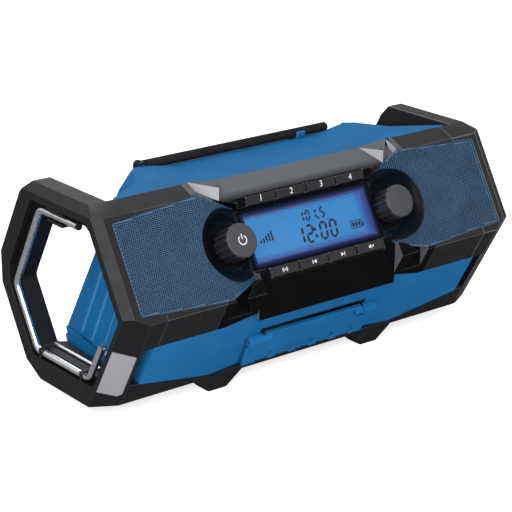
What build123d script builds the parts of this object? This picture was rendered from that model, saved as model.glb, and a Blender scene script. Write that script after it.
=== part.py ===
"""Jobsite radio with open end loops, a folding aerial, a hanging hook and a slide-in battery.

Millimetres. +X runs along the length, -Y is the front, +Z is up. The origin lies on the surface that
the feet rest on, under the middle of the radio. Heights along the leaning front are measured up from
its front ridge, and "out" is measured square to that face.
"""
from build123d import *
import os
from math import cos, radians, sin, sqrt, tan

os.makedirs("parts", exist_ok=True)

# ---- Overall form -----------------------------------------------------------------------------
length = 360.0
depth = 164.0
loop_height = 146.0
foot_height = 13.0
side_tilt = 30.0
frame_width = 20.0
rear_flat = 24.0
wall = 3.0
seam = 0.4
gap = 0.3
running = 0.05
overlap = 1.0

# ---- End frames -------------------------------------------------------------------------------
band_tilt = 22.0
top_flat_inset = 39.0
bottom_flat_inset = 48.0
bottom_cut_angle = 298.0
seat_front = 10.0
seat_lower_front = 12.0
seat_top = 11.3
seat_rear_upper = 13.0
seat_rear = 10.5
seat_bottom = 16.0
seat_depth = 6.7
seat_cut_angle = 125.0
seat_corner_cut = 2.2
lip_front = 3.0
lip_edge = 5.5
lip_rear_upper = 9.0
opening_radius = 5.0
seat_radius = 3.0
top_chamfer_width = 6.0
top_chamfer_drop = 5.5
front_chamfer_width = 7.1
front_chamfer_drop = 3.5
lower_chamfer_width = 18.0
lower_chamfer_drop = 9.0
arm_length = 11.6

# ---- Front panel ------------------------------------------------------------------------------
panel_depth = 10.0
panel_foot = 26.8
panel_foot_depth = 8.0
panel_heel = 7.0
bezel_room = 2.0
console_half = 64.0
prow_outer = 92.5
prow_ridge_x = 76.5
prow_ridge_drop = 4.4
prow_ridge_out = 2.2
prow_back_x = 67.8
prow_rise = 0.6
prow_height = 14.0
brow_back_rise = 4.3
brow_back_out = -13.7
brow_edge_up = 70.4
brow_edge_out = -2.0
cheek_up = 63.3
cheek_out = -4.0
recess_top = 62.0
recess_bottom = 18.0
recess_out = -10.0
sill_up = 17.3
sill_out = -3.0
lip_up = 9.3
lip_out = -4.2
lower_face_inset = 8.8
chin_rise = 5.6
chin_rise_half = 65.0
chin_rise_foot = 90.0
tub_half = 96.0
tub_bottom = 9.0
tub_top = 68.0
tub_out = -17.0
kite_points = ((64.0, 8.7, 8.8), (78.6, 1.0, 1.7), (71.0, 9.0, -20.0))

# ---- Grilles and knobs ------------------------------------------------------------------------
grille_drop = 1.0
grille_sheet = 2.0
grille_margin = 13.0
grille_outer_low = 7.0
grille_outer_high = 72.7
grille_inner_low = (92.0, 1.5)
grille_inner_high = (92.5, 78.5)
grille_tip_x = 62.5
grille_tip_low = 12.0
grille_tip_high = 65.0
lobe_drop = 9.0
dish_outer = 28.5
dish_inner = 17.0
dish_drop = 12.0
grille_block = 24.0
knob_x = 73.8
knob_up = 40.0
knob_radius = 12.8
knob_base = -13.0
knob_front = 6.2
knob_flutes = 16
flute_radius = 1.3
knob_chamfer = 1.4
knob_cap = 2.0
knob_room = 1.0
knob_travel = 0.7
stem_radius = 3.0
stem_end = -3.0
bushing_radius = 3.9
encoder_side = 12.0
board_out = -20.0
board_thickness = 1.6
board_margin = 6.0

# ---- Display and buttons ----------------------------------------------------------------------
window_half = 56.0
window_low = 22.3
window_high = 57.4
window_thickness = 1.6
lcd_thickness = 5.8
lcd_margin = 1.0
preset_pitch = 27.8
preset_width = 26.9
preset_low = 63.4
preset_high = 70.1
function_pitch = 27.0
function_width = 26.0
function_low = 9.7
function_high = 17.0
button_back = -9.0
button_proud = 1.0
button_travel = 0.8
button_stem_half = 3.0
button_stem_height = 3.0
button_fillet = 0.7

# ---- Speakers ---------------------------------------------------------------------------------
speaker_up = 40.0
speaker_margin = 3.0
speaker_rim = 2.2
speaker_neck_share = 0.42
speaker_depth = 14.0
basket_sheet = 1.5
cone_neck_share = 0.27
cone_depth = 9.0
magnet_share = 0.4
magnet_depth = 9.0

# ---- Housing and base -------------------------------------------------------------------------
housing_inset = 23.0
rear_panel_top = 115.0
rear_foot = 37.0
rear_cut_tilt = 45.0
tray_top = 17.0
tray_flat_half = 86.0
tray_end_top = 30.5
tray_end_inset = 24.0
top_dip = 4.0
top_dip_half = 68.0
top_dip_foot = 92.6
chin_dip = 2.0
chin_dip_half = 62.0
end_wall_points = ((26.0, 37.0, 37.0), (40.0, 141.0, 37.0), (60.0, 77.0, 158.0))
top_facet_points = ((60.2, 77.9, 158.0), (73.2, 103.1, 158.0), (60.6, 99.2, 148.0))
rear_facet_points = ((40.0, 141.0, 37.0), (60.6, 99.2, 148.0), (73.2, 103.1, 158.0))
shoulder_wall_points = ((26.0, 37.0, 37.0), (34.4, 94.0, 37.0), (27.5, 54.0, 100.0))
shoulder_under_points = ((25.0, 54.0, 158.0), (60.0, 77.0, 158.0), (41.0, 37.0, 100.0))
end_trim_inset = 28.8
rib_count = 3
rib_first = 32.6
rib_pitch = 19.3
rib_lean = 0.29
rib_foot = 40.0
rib_top = 140.0
rib_step = 1.3
flange_steps = ((37.0, 1.5), (33.0, 3.0))
foot_x = 73.0
foot_top = (42.0, 27.0)
foot_bottom = (16.0, 14.0)
foot_front_inset = 14.0
foot_rear_inset = 20.5
foot_splay = 3.1

# ---- Battery ----------------------------------------------------------------------------------
battery_half = 37.5
battery_bottom = 58.0
battery_top = 100.0
battery_front = -24.0
battery_inset = 8.0
battery_wall = 2.5
battery_fillet = 6.0
battery_gap = 1.0
shoe_half = 26.0
shoe_height = 8.0
shoe_inset = 30.0
groove_depth = 4.0
groove_height = 3.0
tunnel_wall = 2.5
cell_radius = 9.0
cell_length = 65.0
cell_pitch = 18.4
cell_gap = 0.2
latch_half = 12.0
latch_length = 9.0
latch_height = 5.0
latch_travel = 3.0
latch_proud = 3.5
latch_wall = 2.0
latch_room = 0.5

# ---- Rear plate and boards --------------------------------------------------------------------
rear_plate = 2.5
rear_plate_bottom = 45.0
rear_plate_shoulder = 84.0
rear_plate_inset = 80.0
rear_plate_top_inset = 102.0
shoe_setback = 6.0
terminal_xs = (-12.0, -4.0, 4.0, 12.0)
terminal_thickness = 0.8
terminal_height = 5.0
board_standoff = 5.0
board_centre_y = 8.0
main_board_size = (150.0, 56.0)
standoff_spacing = (140.0, 46.0)
standoff_radius = 2.5

# ---- Service compartment ----------------------------------------------------------------------
bay_half = 48.0
bay_high = 46.0
bay_low = 78.0
bay_depth = 20.0
bay_wall = 2.0
door_half = 57.0
door_neck_half = 45.0
door_shoulder = 59.5
door_top = 47.8
door_bottom = 79.0
door_face = 1.5
door_thickness = 3.2
hinge_down = 53.1
hinge_out = 0.3
hinge_pin = 1.5
knuckle_radius = 3.2
knuckle_inner = 40.0
pin_inner = 41.0
ear_inner = 48.3
ear_outer = 60.0
ear_high = 49.0
ear_low = 57.2
ear_face = 3.6
ear_slope = 1.5
door_wing = 58.7
scallop_count = 5
scallop_pitch = 19.5
scallop_radius = 6.0
scallop_drop = 1.2
scallop_down = 74.5
scallop_length = 4.0
jack_x = 22.0
jack_radius = 4.0
jack_bore = 1.8
jack_height = 14.0
usb_x = 38.0
usb_size = (13.1, 5.7)
usb_shell = 0.5
usb_tongue = (10.1, 1.8)
usb_web = 0.6
usb_height = 14.0
backup_x = -40.0
backup_length = 44.5
backup_radius = 5.2

# ---- Aerial -----------------------------------------------------------------------------------
aerial_radius = 3.5
aerial_inset = 3.6
aerial_drop = 1.0
aerial_left = -92.0
aerial_right = 83.0
aerial_tang = 4.0
aerial_shoulder = 4.5
tang_height = 6.0
aerial_pin = 1.5
trough_depth = 5.0
aerial_clip_x = 54.0
aerial_clip_width = 8.0
clip_wall = 1.5
bracket_ear = 2.0
trough_end = 14.0

# ---- Hook -------------------------------------------------------------------------------------
hook_radius = 2.6
hook_inset = 3.5
hook_bend = 8.0
hook_top_z = 141.75
hook_tip_inset = 63.6
hook_top_inset = 51.5
hook_rear_inset = 14.8
hook_rear_z = 76.8
hook_pivot_z = 32.8
hook_low_rear_inset = 41.2
hook_low_front_inset = 55.4
hook_leg_inset = 38.0
hook_leg_z = 63.0
tip_length = 1.6
tip_edge = 0.5
plug_radius = 1.5
plug_length = 3.0
spring_bar_inset = 15.0
spring_bar_setback = 4.0
clip_low = -3.0
clip_high = 17.0
clip_jaw = 2.0
saddle_half = 1.5
saddle_wall = 1.0
saddle_setback = 7.2
spring_bar_radius = 1.2
stop_pin_radius = 1.9
stop_pin_z = 57.0
stop_pin_front_inset = 27.0
stop_pin_length = 9.0
stop_pin_inset = 5.5
cover_high = 30.0
cover_low = 74.0
cover_inlay = 1.0
cover_edge = 1.0
cover_proud = 0.8
cover_slant = 3.0
cover_skew = 2.0

# ---- Fasteners --------------------------------------------------------------------------------
screw_radius = 1.5
screw_head = 3.0
screw_head_height = 2.0
screw_length = 9.0
base_screw_length = 13.0
base_screw_inset = 55.0
base_screw_ys = (-20.0, 16.0)
rear_screw_margin = 9.0

# ---- Shared planes and outlines ---------------------------------------------------------------
half = length / 2
half_depth = depth / 2
half_height = loop_height / 2
bezel_inner = tub_half + bezel_room
mid_z = foot_height + half_height
top_z = foot_height + loop_height
aerial_z = top_z - aerial_drop
aerial_trough = aerial_z - trough_depth
frame_in = half - frame_width
bezel_outer = frame_in - arm_length - seam
lean_cos = cos(radians(side_tilt))
lean_sin = sin(radians(side_tilt))
front_ridge = (0, -half_depth, mid_z)
front = Plane(origin=front_ridge, x_dir=(1, 0, 0), z_dir=(0, -lean_cos, lean_sin))
chin = Plane(origin=front_ridge, x_dir=(1, 0, 0), z_dir=(0, -lean_cos, -lean_sin))


def on_front(up, out):
    """The (y, z) point that lies this far up the leaning front and this far out from it."""
    return (-half_depth + up * lean_sin - out * lean_cos, mid_z + up * lean_cos + out * lean_sin)


def on_chin(down, out):
    """The (y, z) point that lies this far down the chin slope and this far out from it."""
    return (-half_depth + down * lean_sin - out * lean_cos, mid_z - down * lean_cos - out * lean_sin)


def corners(sides):
    """Corner points (y, z) of the outline whose sides have these normal angles and reaches."""
    points = []
    for (angle_a, reach_a), (angle_b, reach_b) in zip(sides, sides[1:] + sides[:1]):
        a = radians(angle_a)
        b = radians(angle_b)
        turn = sin(b - a)
        y = (reach_a * sin(b) - reach_b * sin(a)) / turn
        z = (reach_b * cos(a) - reach_a * cos(b)) / turn
        points.append((y, mid_z + z))
    return points


def facet(points, side=1):
    """The plane through three points of the right half, facing away from the middle."""
    a, b, c = [Vector(side * x, y, z) for x, y, z in points]
    normal = (b - a).cross(c - a).normalized()
    middle = Vector(0, 0, mid_z)
    if normal.dot(a - middle) < 0:
        normal = -normal
    return Plane(origin=a, z_dir=normal)


def end_facet(points, side):
    """The plane through three (inset, setback, z) points: inset from an end, set back from the front."""
    return facet([(half - inset, setback - half_depth, z) for inset, setback, z in points], side)


front_height = half_height / lean_cos
band_back = on_front(front_height + panel_depth * lean_sin / lean_cos, -panel_depth)[0]
front_reach = half_depth * lean_cos
rear_reach = front_reach + rear_flat / 2 * lean_sin
band_angle = 90 + band_tilt
band_reach = band_back * cos(radians(band_angle)) + half_height * sin(radians(band_angle))
top_cut_reach = (half_depth - top_flat_inset + half_height) / sqrt(2)
bottom_cut = radians(bottom_cut_angle)
bottom_cut_reach = (half_depth - bottom_flat_inset) * cos(bottom_cut) - half_height * sin(bottom_cut)
seat_corner_z = half_height - seat_top
seat_corner_y = (seat_corner_z * lean_sin - front_reach + seat_front) / lean_cos
seat_cut = radians(seat_cut_angle)
seat_cut_reach = seat_corner_y * cos(seat_cut) + seat_corner_z * sin(seat_cut) - seat_corner_cut

outline = corners([
    (0, half_depth),
    (side_tilt, rear_reach),
    (45, top_cut_reach),
    (90, half_height),
    (band_angle, band_reach),
    (180 - side_tilt, front_reach),
    (180 + side_tilt, front_reach),
    (270, half_height),
    (bottom_cut_angle, bottom_cut_reach),
    (360 - side_tilt, rear_reach),
])
seat = corners([
    (0, half_depth - seat_rear),
    (side_tilt, rear_reach - seat_rear_upper),
    (90, seat_corner_z),
    (seat_cut_angle, seat_cut_reach),
    (180 - side_tilt, front_reach - seat_front),
    (180 + side_tilt, front_reach - seat_lower_front),
    (270, half_height - seat_bottom),
    (360 - side_tilt, rear_reach - seat_rear),
])
opening = corners([
    (side_tilt, rear_reach - seat_rear_upper - lip_rear_upper),
    (90, seat_corner_z - lip_edge),
    (seat_cut_angle, seat_cut_reach - lip_edge),
    (180 - side_tilt, front_reach - seat_front - lip_front),
    (180 + side_tilt, front_reach - seat_lower_front - lip_front),
    (270, half_height - seat_bottom - lip_edge),
    (360 - side_tilt, rear_reach - seat_rear - lip_edge),
])
band_front = outline[4]
panel_profile = [
    (band_back, top_z),
    band_front,
    on_front(0, 0),
    on_chin(panel_foot, 0),
    on_chin(panel_foot, -panel_foot_depth),
    on_front(panel_heel, -panel_depth),
]
housing_rear = half_depth - housing_inset
rear_cut_slope = tan(radians(rear_cut_tilt))
lower_rear_y = housing_rear - (rear_foot - tray_top) * rear_cut_slope
upper_rear_y = housing_rear - (top_z - rear_panel_top) * tan(radians(side_tilt))
housing_profile = [
    (band_back, top_z),
    (upper_rear_y, top_z),
    (housing_rear, rear_panel_top),
    (housing_rear, rear_foot),
    (lower_rear_y, tray_top),
    on_chin((mid_z - tray_top) / lean_cos, 0),
    on_chin(panel_foot, 0),
    on_chin(panel_foot, -panel_foot_depth),
    on_front(panel_heel, -panel_depth),
]
grille_outer = half - grille_margin
grille_outline = [
    (grille_outer, grille_outer_low),
    (grille_outer, grille_outer_high),
    grille_inner_high,
    (grille_tip_x, grille_tip_high),
    (grille_tip_x, grille_tip_low),
    grille_inner_low,
]


# ---- Grille forms -----------------------------------------------------------------------------
def grille_form(drop, growth, hole):
    """The solid under the grille's surface: flat field, sloping lobe and the dish round the knob."""
    lobe_run = grille_inner_high[0] - grille_tip_x
    tip = front.offset(-drop).from_local_coords((grille_tip_x, 0, -lobe_drop))
    crease = front.offset(-drop).from_local_coords((grille_inner_high[0], 0, 0))
    across = Vector(*crease) - Vector(*tip)
    lobe_plane = Plane(origin=crease, z_dir=across.cross(front.y_dir))
    knob_axis = front.offset(-drop).from_local_coords((knob_x, knob_up, 0))
    dish_cone = Plane(origin=knob_axis, x_dir=front.x_dir, z_dir=-front.z_dir)
    slope = (dish_outer - dish_inner) / dish_drop
    rim = 1.0
    with BuildPart() as form:
        with BuildSketch(front.offset(-drop)):
            Polygon(*grille_outline, align=None)
            if growth > 0:
                offset(amount=growth, kind=Kind.INTERSECTION)
        extrude(amount=-grille_block)
        if lobe_run > 0:
            split(bisect_by=lobe_plane, keep=Keep.BOTTOM)
        with BuildSketch(dish_cone.offset(-rim)):
            Circle(dish_outer + rim * slope)
        with BuildSketch(dish_cone.offset(dish_drop)):
            Circle(dish_inner)
        loft(mode=Mode.SUBTRACT)
        if hole:
            with BuildSketch(dish_cone):
                Circle(dish_inner)
            extrude(amount=2 * grille_block, mode=Mode.SUBTRACT)
    return form.part


def grille_space():
    """All the room that a right-hand grille takes, from its underside outwards."""
    with BuildPart() as space:
        with BuildSketch(front.offset(-grille_block)):
            Polygon(*grille_outline, align=None)
            offset(amount=gap, kind=Kind.INTERSECTION)
        extrude(amount=2 * grille_block)
        add(grille_form(grille_drop + grille_sheet, gap, False), mode=Mode.SUBTRACT)
    return space.part


right_grille_space = grille_space()

with BuildPart() as right_grille:
    add(grille_form(grille_drop, 0, True))
    add(grille_form(grille_drop + grille_sheet, 0, False), mode=Mode.SUBTRACT)

with BuildPart() as left_grille:
    mirror(right_grille.part, about=Plane.YZ)

for grille, name in ((left_grille, "left_grille"), (right_grille, "right_grille")):
    grille.part.label = name
    export_step(grille.part, f"parts/{name}.step")


# ---- Console ----------------------------------------------------------------------------------
brow_back = on_front(front_height + brow_back_rise, brow_back_out)
prow_ridge = on_front(front_height - prow_ridge_drop, prow_ridge_out)
prow_top = facet((
    (prow_outer, band_back, top_z + prow_rise),
    (prow_back_x, *brow_back),
    (prow_ridge_x, *prow_ridge),
))
prow_floor = top_z - prow_height
lower_face_y = lower_face_inset - half_depth
kite = facet([(x, inset - half_depth, mid_z + rise) for x, inset, rise in kite_points])
brow_edge = on_front(brow_edge_up, brow_edge_out)
brow_slope = (brow_back[1] - brow_edge[1]) / (brow_back[0] - brow_edge[0])
front_slope = lean_cos / lean_sin
brow_front_y = (mid_z + front_slope * half_depth - brow_back[1] + brow_slope * brow_back[0]) / (
    brow_slope - front_slope
)
brow_front = (brow_front_y, brow_back[1] + brow_slope * (brow_front_y - brow_back[0]))
brow_under = on_front(tub_top, tub_out)
console_profile = [
    brow_back,
    brow_edge,
    on_front(cheek_up, cheek_out),
    on_front(recess_top, recess_out),
    on_front(recess_bottom, recess_out),
    on_front(sill_up, sill_out),
    on_front(lip_up, lip_out),
    (lower_face_y, mid_z - panel_foot * lean_cos),
    on_chin(panel_foot, -panel_foot_depth),
    on_front(tub_bottom, tub_out),
    brow_under,
    (brow_back[0], brow_back[1] - wall),
]
flank_profile = [
    brow_back,
    brow_front,
    on_front(0, 0),
    on_chin(panel_foot, 0),
    on_chin(panel_foot, -panel_foot_depth),
    on_front(tub_bottom, -panel_depth),
    on_front(tub_top, -panel_depth),
    brow_under,
    (brow_back[0], brow_back[1] - wall),
]


def chin_step():
    """The raised middle of the chin's upper edge, as wide as its slanted ends."""
    low = mid_z - panel_foot * lean_cos - overlap
    high = low + overlap + chin_rise
    slant = (chin_rise_foot - chin_rise_half) / chin_rise * overlap
    with BuildPart() as step:
        with BuildSketch(Plane.XZ.offset(-on_chin(panel_foot, -panel_foot_depth)[0])):
            Polygon(
                (-chin_rise_foot - slant, low),
                (chin_rise_foot + slant, low),
                (chin_rise_half, high),
                (-chin_rise_half, high),
                align=None,
            )
        extrude(amount=depth)
        split(bisect_by=chin, keep=Keep.BOTTOM)
    return step.part


def prow_block():
    """The faceted prow that stands between the right bezel's upper end and the console's brow."""
    with BuildPart() as prow:
        with BuildSketch(Plane.XY.offset(prow_floor)):
            Polygon(
                (prow_outer, band_back),
                (prow_ridge_x, prow_ridge[0]),
                (prow_back_x, brow_back[0]),
                align=None,
            )
        extrude(amount=half_height)
        split(bisect_by=prow_top, keep=Keep.BOTTOM)
    return prow.part


def kite_cutter():
    """What is taken off in front of the console's lower face, out to the right kite-shaped facet."""
    with BuildPart() as cutter:
        with BuildSketch(Plane.XY.offset(mid_z - panel_foot * lean_cos - overlap)):
            with Locations((chin_rise_foot / 2, lower_face_y - half_depth)):
                Rectangle(chin_rise_foot, depth)
        extrude(amount=panel_foot * lean_cos + sill_up)
        split(bisect_by=kite, keep=Keep.BOTTOM)
    return cutter.part


def console_blank():
    """The whole room that the console takes, before its recesses are cut."""
    with BuildPart() as blank:
        with BuildSketch(Plane.YZ):
            Polygon(*console_profile, align=None)
        extrude(amount=console_half)
        with BuildSketch(Plane.YZ.offset(console_half)):
            Polygon(*flank_profile, align=None)
        extrude(amount=prow_outer - console_half)
        with BuildSketch(Plane.YZ.offset(prow_outer)):
            Polygon(*panel_profile, align=None)
        extrude(amount=bezel_inner - prow_outer)
        with BuildSketch(front.offset(tub_out)):
            with Locations(((console_half + tub_half) / 2, (tub_bottom + tub_top) / 2)):
                Rectangle(tub_half - console_half, tub_top - tub_bottom)
        extrude(amount=-tub_out - panel_depth)
        add(kite_cutter(), mode=Mode.SUBTRACT)
        add(prow_block())
        mirror(about=Plane.YZ)
        add(chin_step(), mode=Mode.SUBTRACT)
    return blank.part


console_room = console_blank()
floor_holes = [
    (preset_low + preset_high) / 2,
    (function_low + function_high) / 2,
]


def mirrored(solid):
    """The left-hand twin of a right-hand solid."""
    with BuildPart() as twin:
        mirror(solid, about=Plane.YZ)
    return twin.part


def button_xs(pitch):
    """Centres of a row of four buttons."""
    return [pitch * (index - 1.5) for index in range(4)]


with BuildPart() as centre_console:
    add(console_room)
    add(right_grille_space, mode=Mode.SUBTRACT)
    add(mirrored(right_grille_space), mode=Mode.SUBTRACT)
    with BuildSketch(front.offset(recess_out)):
        with Locations((0, (recess_top + preset_high + gap) / 2)):
            Rectangle(3 * preset_pitch + preset_width + 2 * gap, preset_high + gap - recess_top + overlap)
        with Locations((0, (recess_bottom + function_low - gap) / 2)):
            Rectangle(
                3 * function_pitch + function_width + 2 * gap, recess_bottom - function_low + gap + overlap
            )
    extrude(amount=-2 * recess_out, mode=Mode.SUBTRACT)
    with BuildSketch(front.offset(recess_out)):
        with Locations((0, (window_low + window_high) / 2)):
            Rectangle(2 * window_half, window_high - window_low)
        for pitch, up in zip((preset_pitch, function_pitch), floor_holes):
            with Locations(*[(x, up) for x in button_xs(pitch)]):
                Rectangle(2 * button_stem_half + 2 * gap, button_stem_height + 2 * gap)
        with Locations((knob_x, knob_up), (-knob_x, knob_up)):
            Circle(bushing_radius)
    extrude(amount=grille_block, both=True, mode=Mode.SUBTRACT)
    with BuildSketch(front.offset(knob_base - knob_travel - gap)):
        with Locations((knob_x, knob_up), (-knob_x, knob_up)):
            Circle(knob_radius + knob_room)
    extrude(amount=grille_block, mode=Mode.SUBTRACT)
centre_console.part.label = "centre_console"
export_step(centre_console.part, "parts/centre_console.step")

with BuildPart() as display_window:
    with BuildSketch(front.offset(recess_out - gap)):
        with Locations((0, (window_low + window_high) / 2)):
            Rectangle(2 * window_half, window_high - window_low)
    extrude(amount=-window_thickness)
display_window.part.label = "display_window"
export_step(display_window.part, "parts/display_window.step")

with BuildPart() as lcd_module:
    with BuildSketch(front.offset(recess_out - gap - window_thickness)):
        with Locations((0, (window_low + window_high) / 2)):
            Rectangle(2 * (window_half - lcd_margin), window_high - window_low - 2 * lcd_margin)
    extrude(amount=-lcd_thickness)
lcd_module.part.label = "lcd_module"
export_step(lcd_module.part, "parts/lcd_module.step")

with BuildPart() as control_board:
    with BuildSketch(front.offset(board_out)):
        with Locations((0, (tub_bottom + tub_top) / 2)):
            Rectangle(2 * (tub_half - board_margin), tub_top - tub_bottom)
    extrude(amount=-board_thickness)
control_board.part.label = "control_board"
export_step(control_board.part, "parts/control_board.step")

# ---- Push buttons -----------------------------------------------------------------------------
upper_face = (
    on_front(preset_high, brow_edge_out + button_proud),
    on_front(preset_low, cheek_out + button_proud),
)
lower_face = (
    on_front(function_high, sill_out + button_proud),
    on_front(function_low, lip_out + button_proud),
)
rows = (
    ("preset_button", preset_pitch, preset_width, preset_low, preset_high, upper_face),
    ("function_button", function_pitch, function_width, function_low, function_high, lower_face),
)
for row_name, pitch, width, low, high, face in rows:
    for number, x in enumerate(button_xs(pitch), 1):
        with BuildPart() as button:
            with BuildSketch(Plane.YZ.offset(x)):
                Polygon(*face, on_front(low, button_back), on_front(high, button_back), align=None)
            extrude(amount=width / 2, both=True)
            front_edges = button.faces().sort_by(Axis((0, 0, 0), front.z_dir))[-1].edges()
            fillet(front_edges, radius=button_fillet)
            with BuildSketch(front.offset(button_back)):
                with Locations((x, (low + high) / 2)):
                    Rectangle(2 * button_stem_half, button_stem_height)
            extrude(amount=board_out + button_travel - button_back)
        button.part.label = f"{row_name}_{number}"
        export_step(button.part, f"parts/{row_name}_{number}.step")

# ---- Knobs and encoders -----------------------------------------------------------------------
knob_centre = Location(front.from_local_coords((knob_x, knob_up, 0)))
knob_plane = Plane(origin=knob_centre.position, x_dir=front.x_dir, z_dir=front.z_dir)

with BuildPart() as right_knob:
    with BuildSketch(knob_plane.offset(knob_base)):
        Circle(knob_radius)
        with PolarLocations(knob_radius, knob_flutes):
            Circle(flute_radius, mode=Mode.SUBTRACT)
    extrude(amount=knob_front - knob_base - 2 * knob_chamfer)
    with BuildSketch(knob_plane.offset(knob_front - 2 * knob_chamfer)):
        Circle(knob_radius)
    extrude(amount=2 * knob_chamfer)
    chamfer(right_knob.faces().sort_by(Axis((0, 0, 0), front.z_dir))[-1].edges(), length=knob_chamfer)
    with BuildSketch(knob_plane.offset(knob_base)):
        Circle(stem_radius + running)
    extrude(amount=-knob_base - knob_cap, mode=Mode.SUBTRACT)

with BuildPart() as right_encoder_stem:
    with BuildSketch(knob_plane.offset(board_out + knob_travel + gap)):
        Circle(stem_radius)
    extrude(amount=stem_end - board_out - knob_travel - gap)

with BuildPart() as right_encoder:
    with BuildSketch(knob_plane.offset(board_out)):
        Rectangle(encoder_side, encoder_side)
    extrude(amount=tub_out - board_out)
    with BuildSketch(knob_plane.offset(tub_out)):
        Circle(bushing_radius)
    extrude(amount=knob_base - tub_out - knob_travel - gap)
    with BuildSketch(knob_plane.offset(board_out)):
        Circle(stem_radius + running)
    extrude(amount=knob_base - board_out, mode=Mode.SUBTRACT)

for piece, name in ((right_knob, "knob"), (right_encoder_stem, "encoder_stem"), (right_encoder, "encoder")):
    with BuildPart() as left_piece:
        mirror(piece.part, about=Plane.YZ)
    left_piece.part.label = f"left_{name}"
    export_step(left_piece.part, f"parts/left_{name}.step")
    piece.part.label = f"right_{name}"
    export_step(piece.part, f"parts/right_{name}.step")

# ---- Bezels and end frames --------------------------------------------------------------------
speaker_x = (bezel_inner + bezel_outer) / 2
speaker_hole = (bezel_outer - bezel_inner) / 2 - speaker_margin
speaker_centre = front.from_local_coords((speaker_x, speaker_up, 0))


def mirror_x(point):
    """The point's twin on the other side of the middle."""
    return Vector(-point.X, point.Y, point.Z)


speaker_plane = Plane(origin=speaker_centre, x_dir=front.x_dir, z_dir=front.z_dir)

with BuildPart() as right_bezel:
    with BuildSketch(Plane.YZ.offset(bezel_inner)):
        Polygon(*panel_profile, align=None)
    extrude(amount=bezel_outer - bezel_inner)
    add(right_grille_space, mode=Mode.SUBTRACT)
    with BuildSketch(speaker_plane):
        Circle(speaker_hole)
    extrude(amount=-2 * panel_depth, mode=Mode.SUBTRACT)

top_edge = Vector(top_chamfer_drop, 0, top_chamfer_width)
front_edge = Vector(front_chamfer_drop, 0, 0) + front.z_dir * front_chamfer_width
lower_edge = Vector(lower_chamfer_drop, 0, 0) + chin.z_dir * lower_chamfer_width
top_cut = Plane(origin=(half - top_chamfer_width, 0, top_z), z_dir=top_edge)
front_cut = Plane(origin=(half - front_chamfer_width, -half_depth, mid_z), z_dir=front_edge)
lower_cut = Plane(
    origin=(half - lower_chamfer_width, -half_depth, mid_z),
    x_dir=Vector(lower_chamfer_width, 0, 0) - chin.z_dir * lower_chamfer_drop,
    z_dir=lower_edge,
)

with BuildPart() as right_end_frame:
    with BuildSketch(Plane.YZ.offset(frame_in)):
        Polygon(*outline, align=None)
    extrude(amount=frame_width)
    for cut in (top_cut, front_cut, lower_cut):
        split(bisect_by=cut, keep=Keep.BOTTOM)
    with BuildSketch(Plane.YZ.offset(frame_in - arm_length)):
        Polygon(*panel_profile, align=None)
    extrude(amount=arm_length)
    with BuildSketch(Plane.YZ.offset(frame_in)) as through:
        Polygon(*opening, align=None)
        fillet(through.vertices(), radius=opening_radius)
    extrude(amount=frame_width, mode=Mode.SUBTRACT)
    with BuildSketch(Plane.YZ.offset(half)) as recess:
        Polygon(*seat, align=None)
        fillet(recess.vertices(), radius=seat_radius)
    extrude(amount=-seat_depth, mode=Mode.SUBTRACT)
    add(right_grille_space, mode=Mode.SUBTRACT)

# ---- Hook cover: an inlay in the left frame's lower front bevel -------------------------------
bevel_width = sqrt(lower_chamfer_width**2 + lower_chamfer_drop**2)
stop_pin_front = Plane.XZ.offset(half_depth - stop_pin_front_inset)

with BuildPart() as hook_cover:
    with BuildSketch(lower_cut.offset(-cover_inlay)):
        Polygon(
            (bevel_width - cover_edge, -cover_high),
            (cover_edge, -cover_high - cover_slant),
            (cover_edge, -cover_low + cover_slant),
            (cover_edge + cover_slant, -cover_low),
            (bevel_width - cover_edge, -cover_low + cover_skew),
            align=None,
        )
    extrude(amount=cover_inlay + cover_proud)
    mirror(about=Plane.YZ, mode=Mode.REPLACE)
hook_cover.part.label = "hook_cover"
export_step(hook_cover.part, "parts/hook_cover.step")

with BuildPart() as left_end_frame:
    mirror(right_end_frame.part, about=Plane.YZ)
    add(hook_cover.part, mode=Mode.SUBTRACT)
    with BuildSketch(stop_pin_front):
        with Locations((-half + stop_pin_inset, stop_pin_z)):
            Circle(stop_pin_radius)
    extrude(amount=-stop_pin_length, mode=Mode.SUBTRACT)
left_end_frame.part.label = "left_end_frame"
export_step(left_end_frame.part, "parts/left_end_frame.step")
right_end_frame.part.label = "right_end_frame"
export_step(right_end_frame.part, "parts/right_end_frame.step")

with BuildPart() as left_bezel:
    mirror(right_bezel.part, about=Plane.YZ)
left_bezel.part.label = "left_bezel"
export_step(left_bezel.part, "parts/left_bezel.step")
right_bezel.part.label = "right_bezel"
export_step(right_bezel.part, "parts/right_bezel.step")

# ---- Speakers ---------------------------------------------------------------------------------
flange_out = -panel_depth
speaker_flange = speaker_hole + speaker_rim
speaker_neck = speaker_hole * speaker_neck_share
cone_neck = speaker_hole * cone_neck_share
with BuildPart() as right_speaker_basket:
    with BuildSketch(speaker_plane.offset(flange_out)):
        Circle(speaker_flange)
    extrude(amount=-wall)
    with BuildSketch(speaker_plane.offset(flange_out - wall)):
        Circle(speaker_hole)
    with BuildSketch(speaker_plane.offset(flange_out - speaker_depth)):
        Circle(speaker_neck)
    loft()
    with BuildSketch(speaker_plane.offset(flange_out)):
        Circle(speaker_hole - basket_sheet)
    with BuildSketch(speaker_plane.offset(flange_out - speaker_depth)):
        Circle(speaker_neck - basket_sheet)
    loft(mode=Mode.SUBTRACT)

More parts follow.
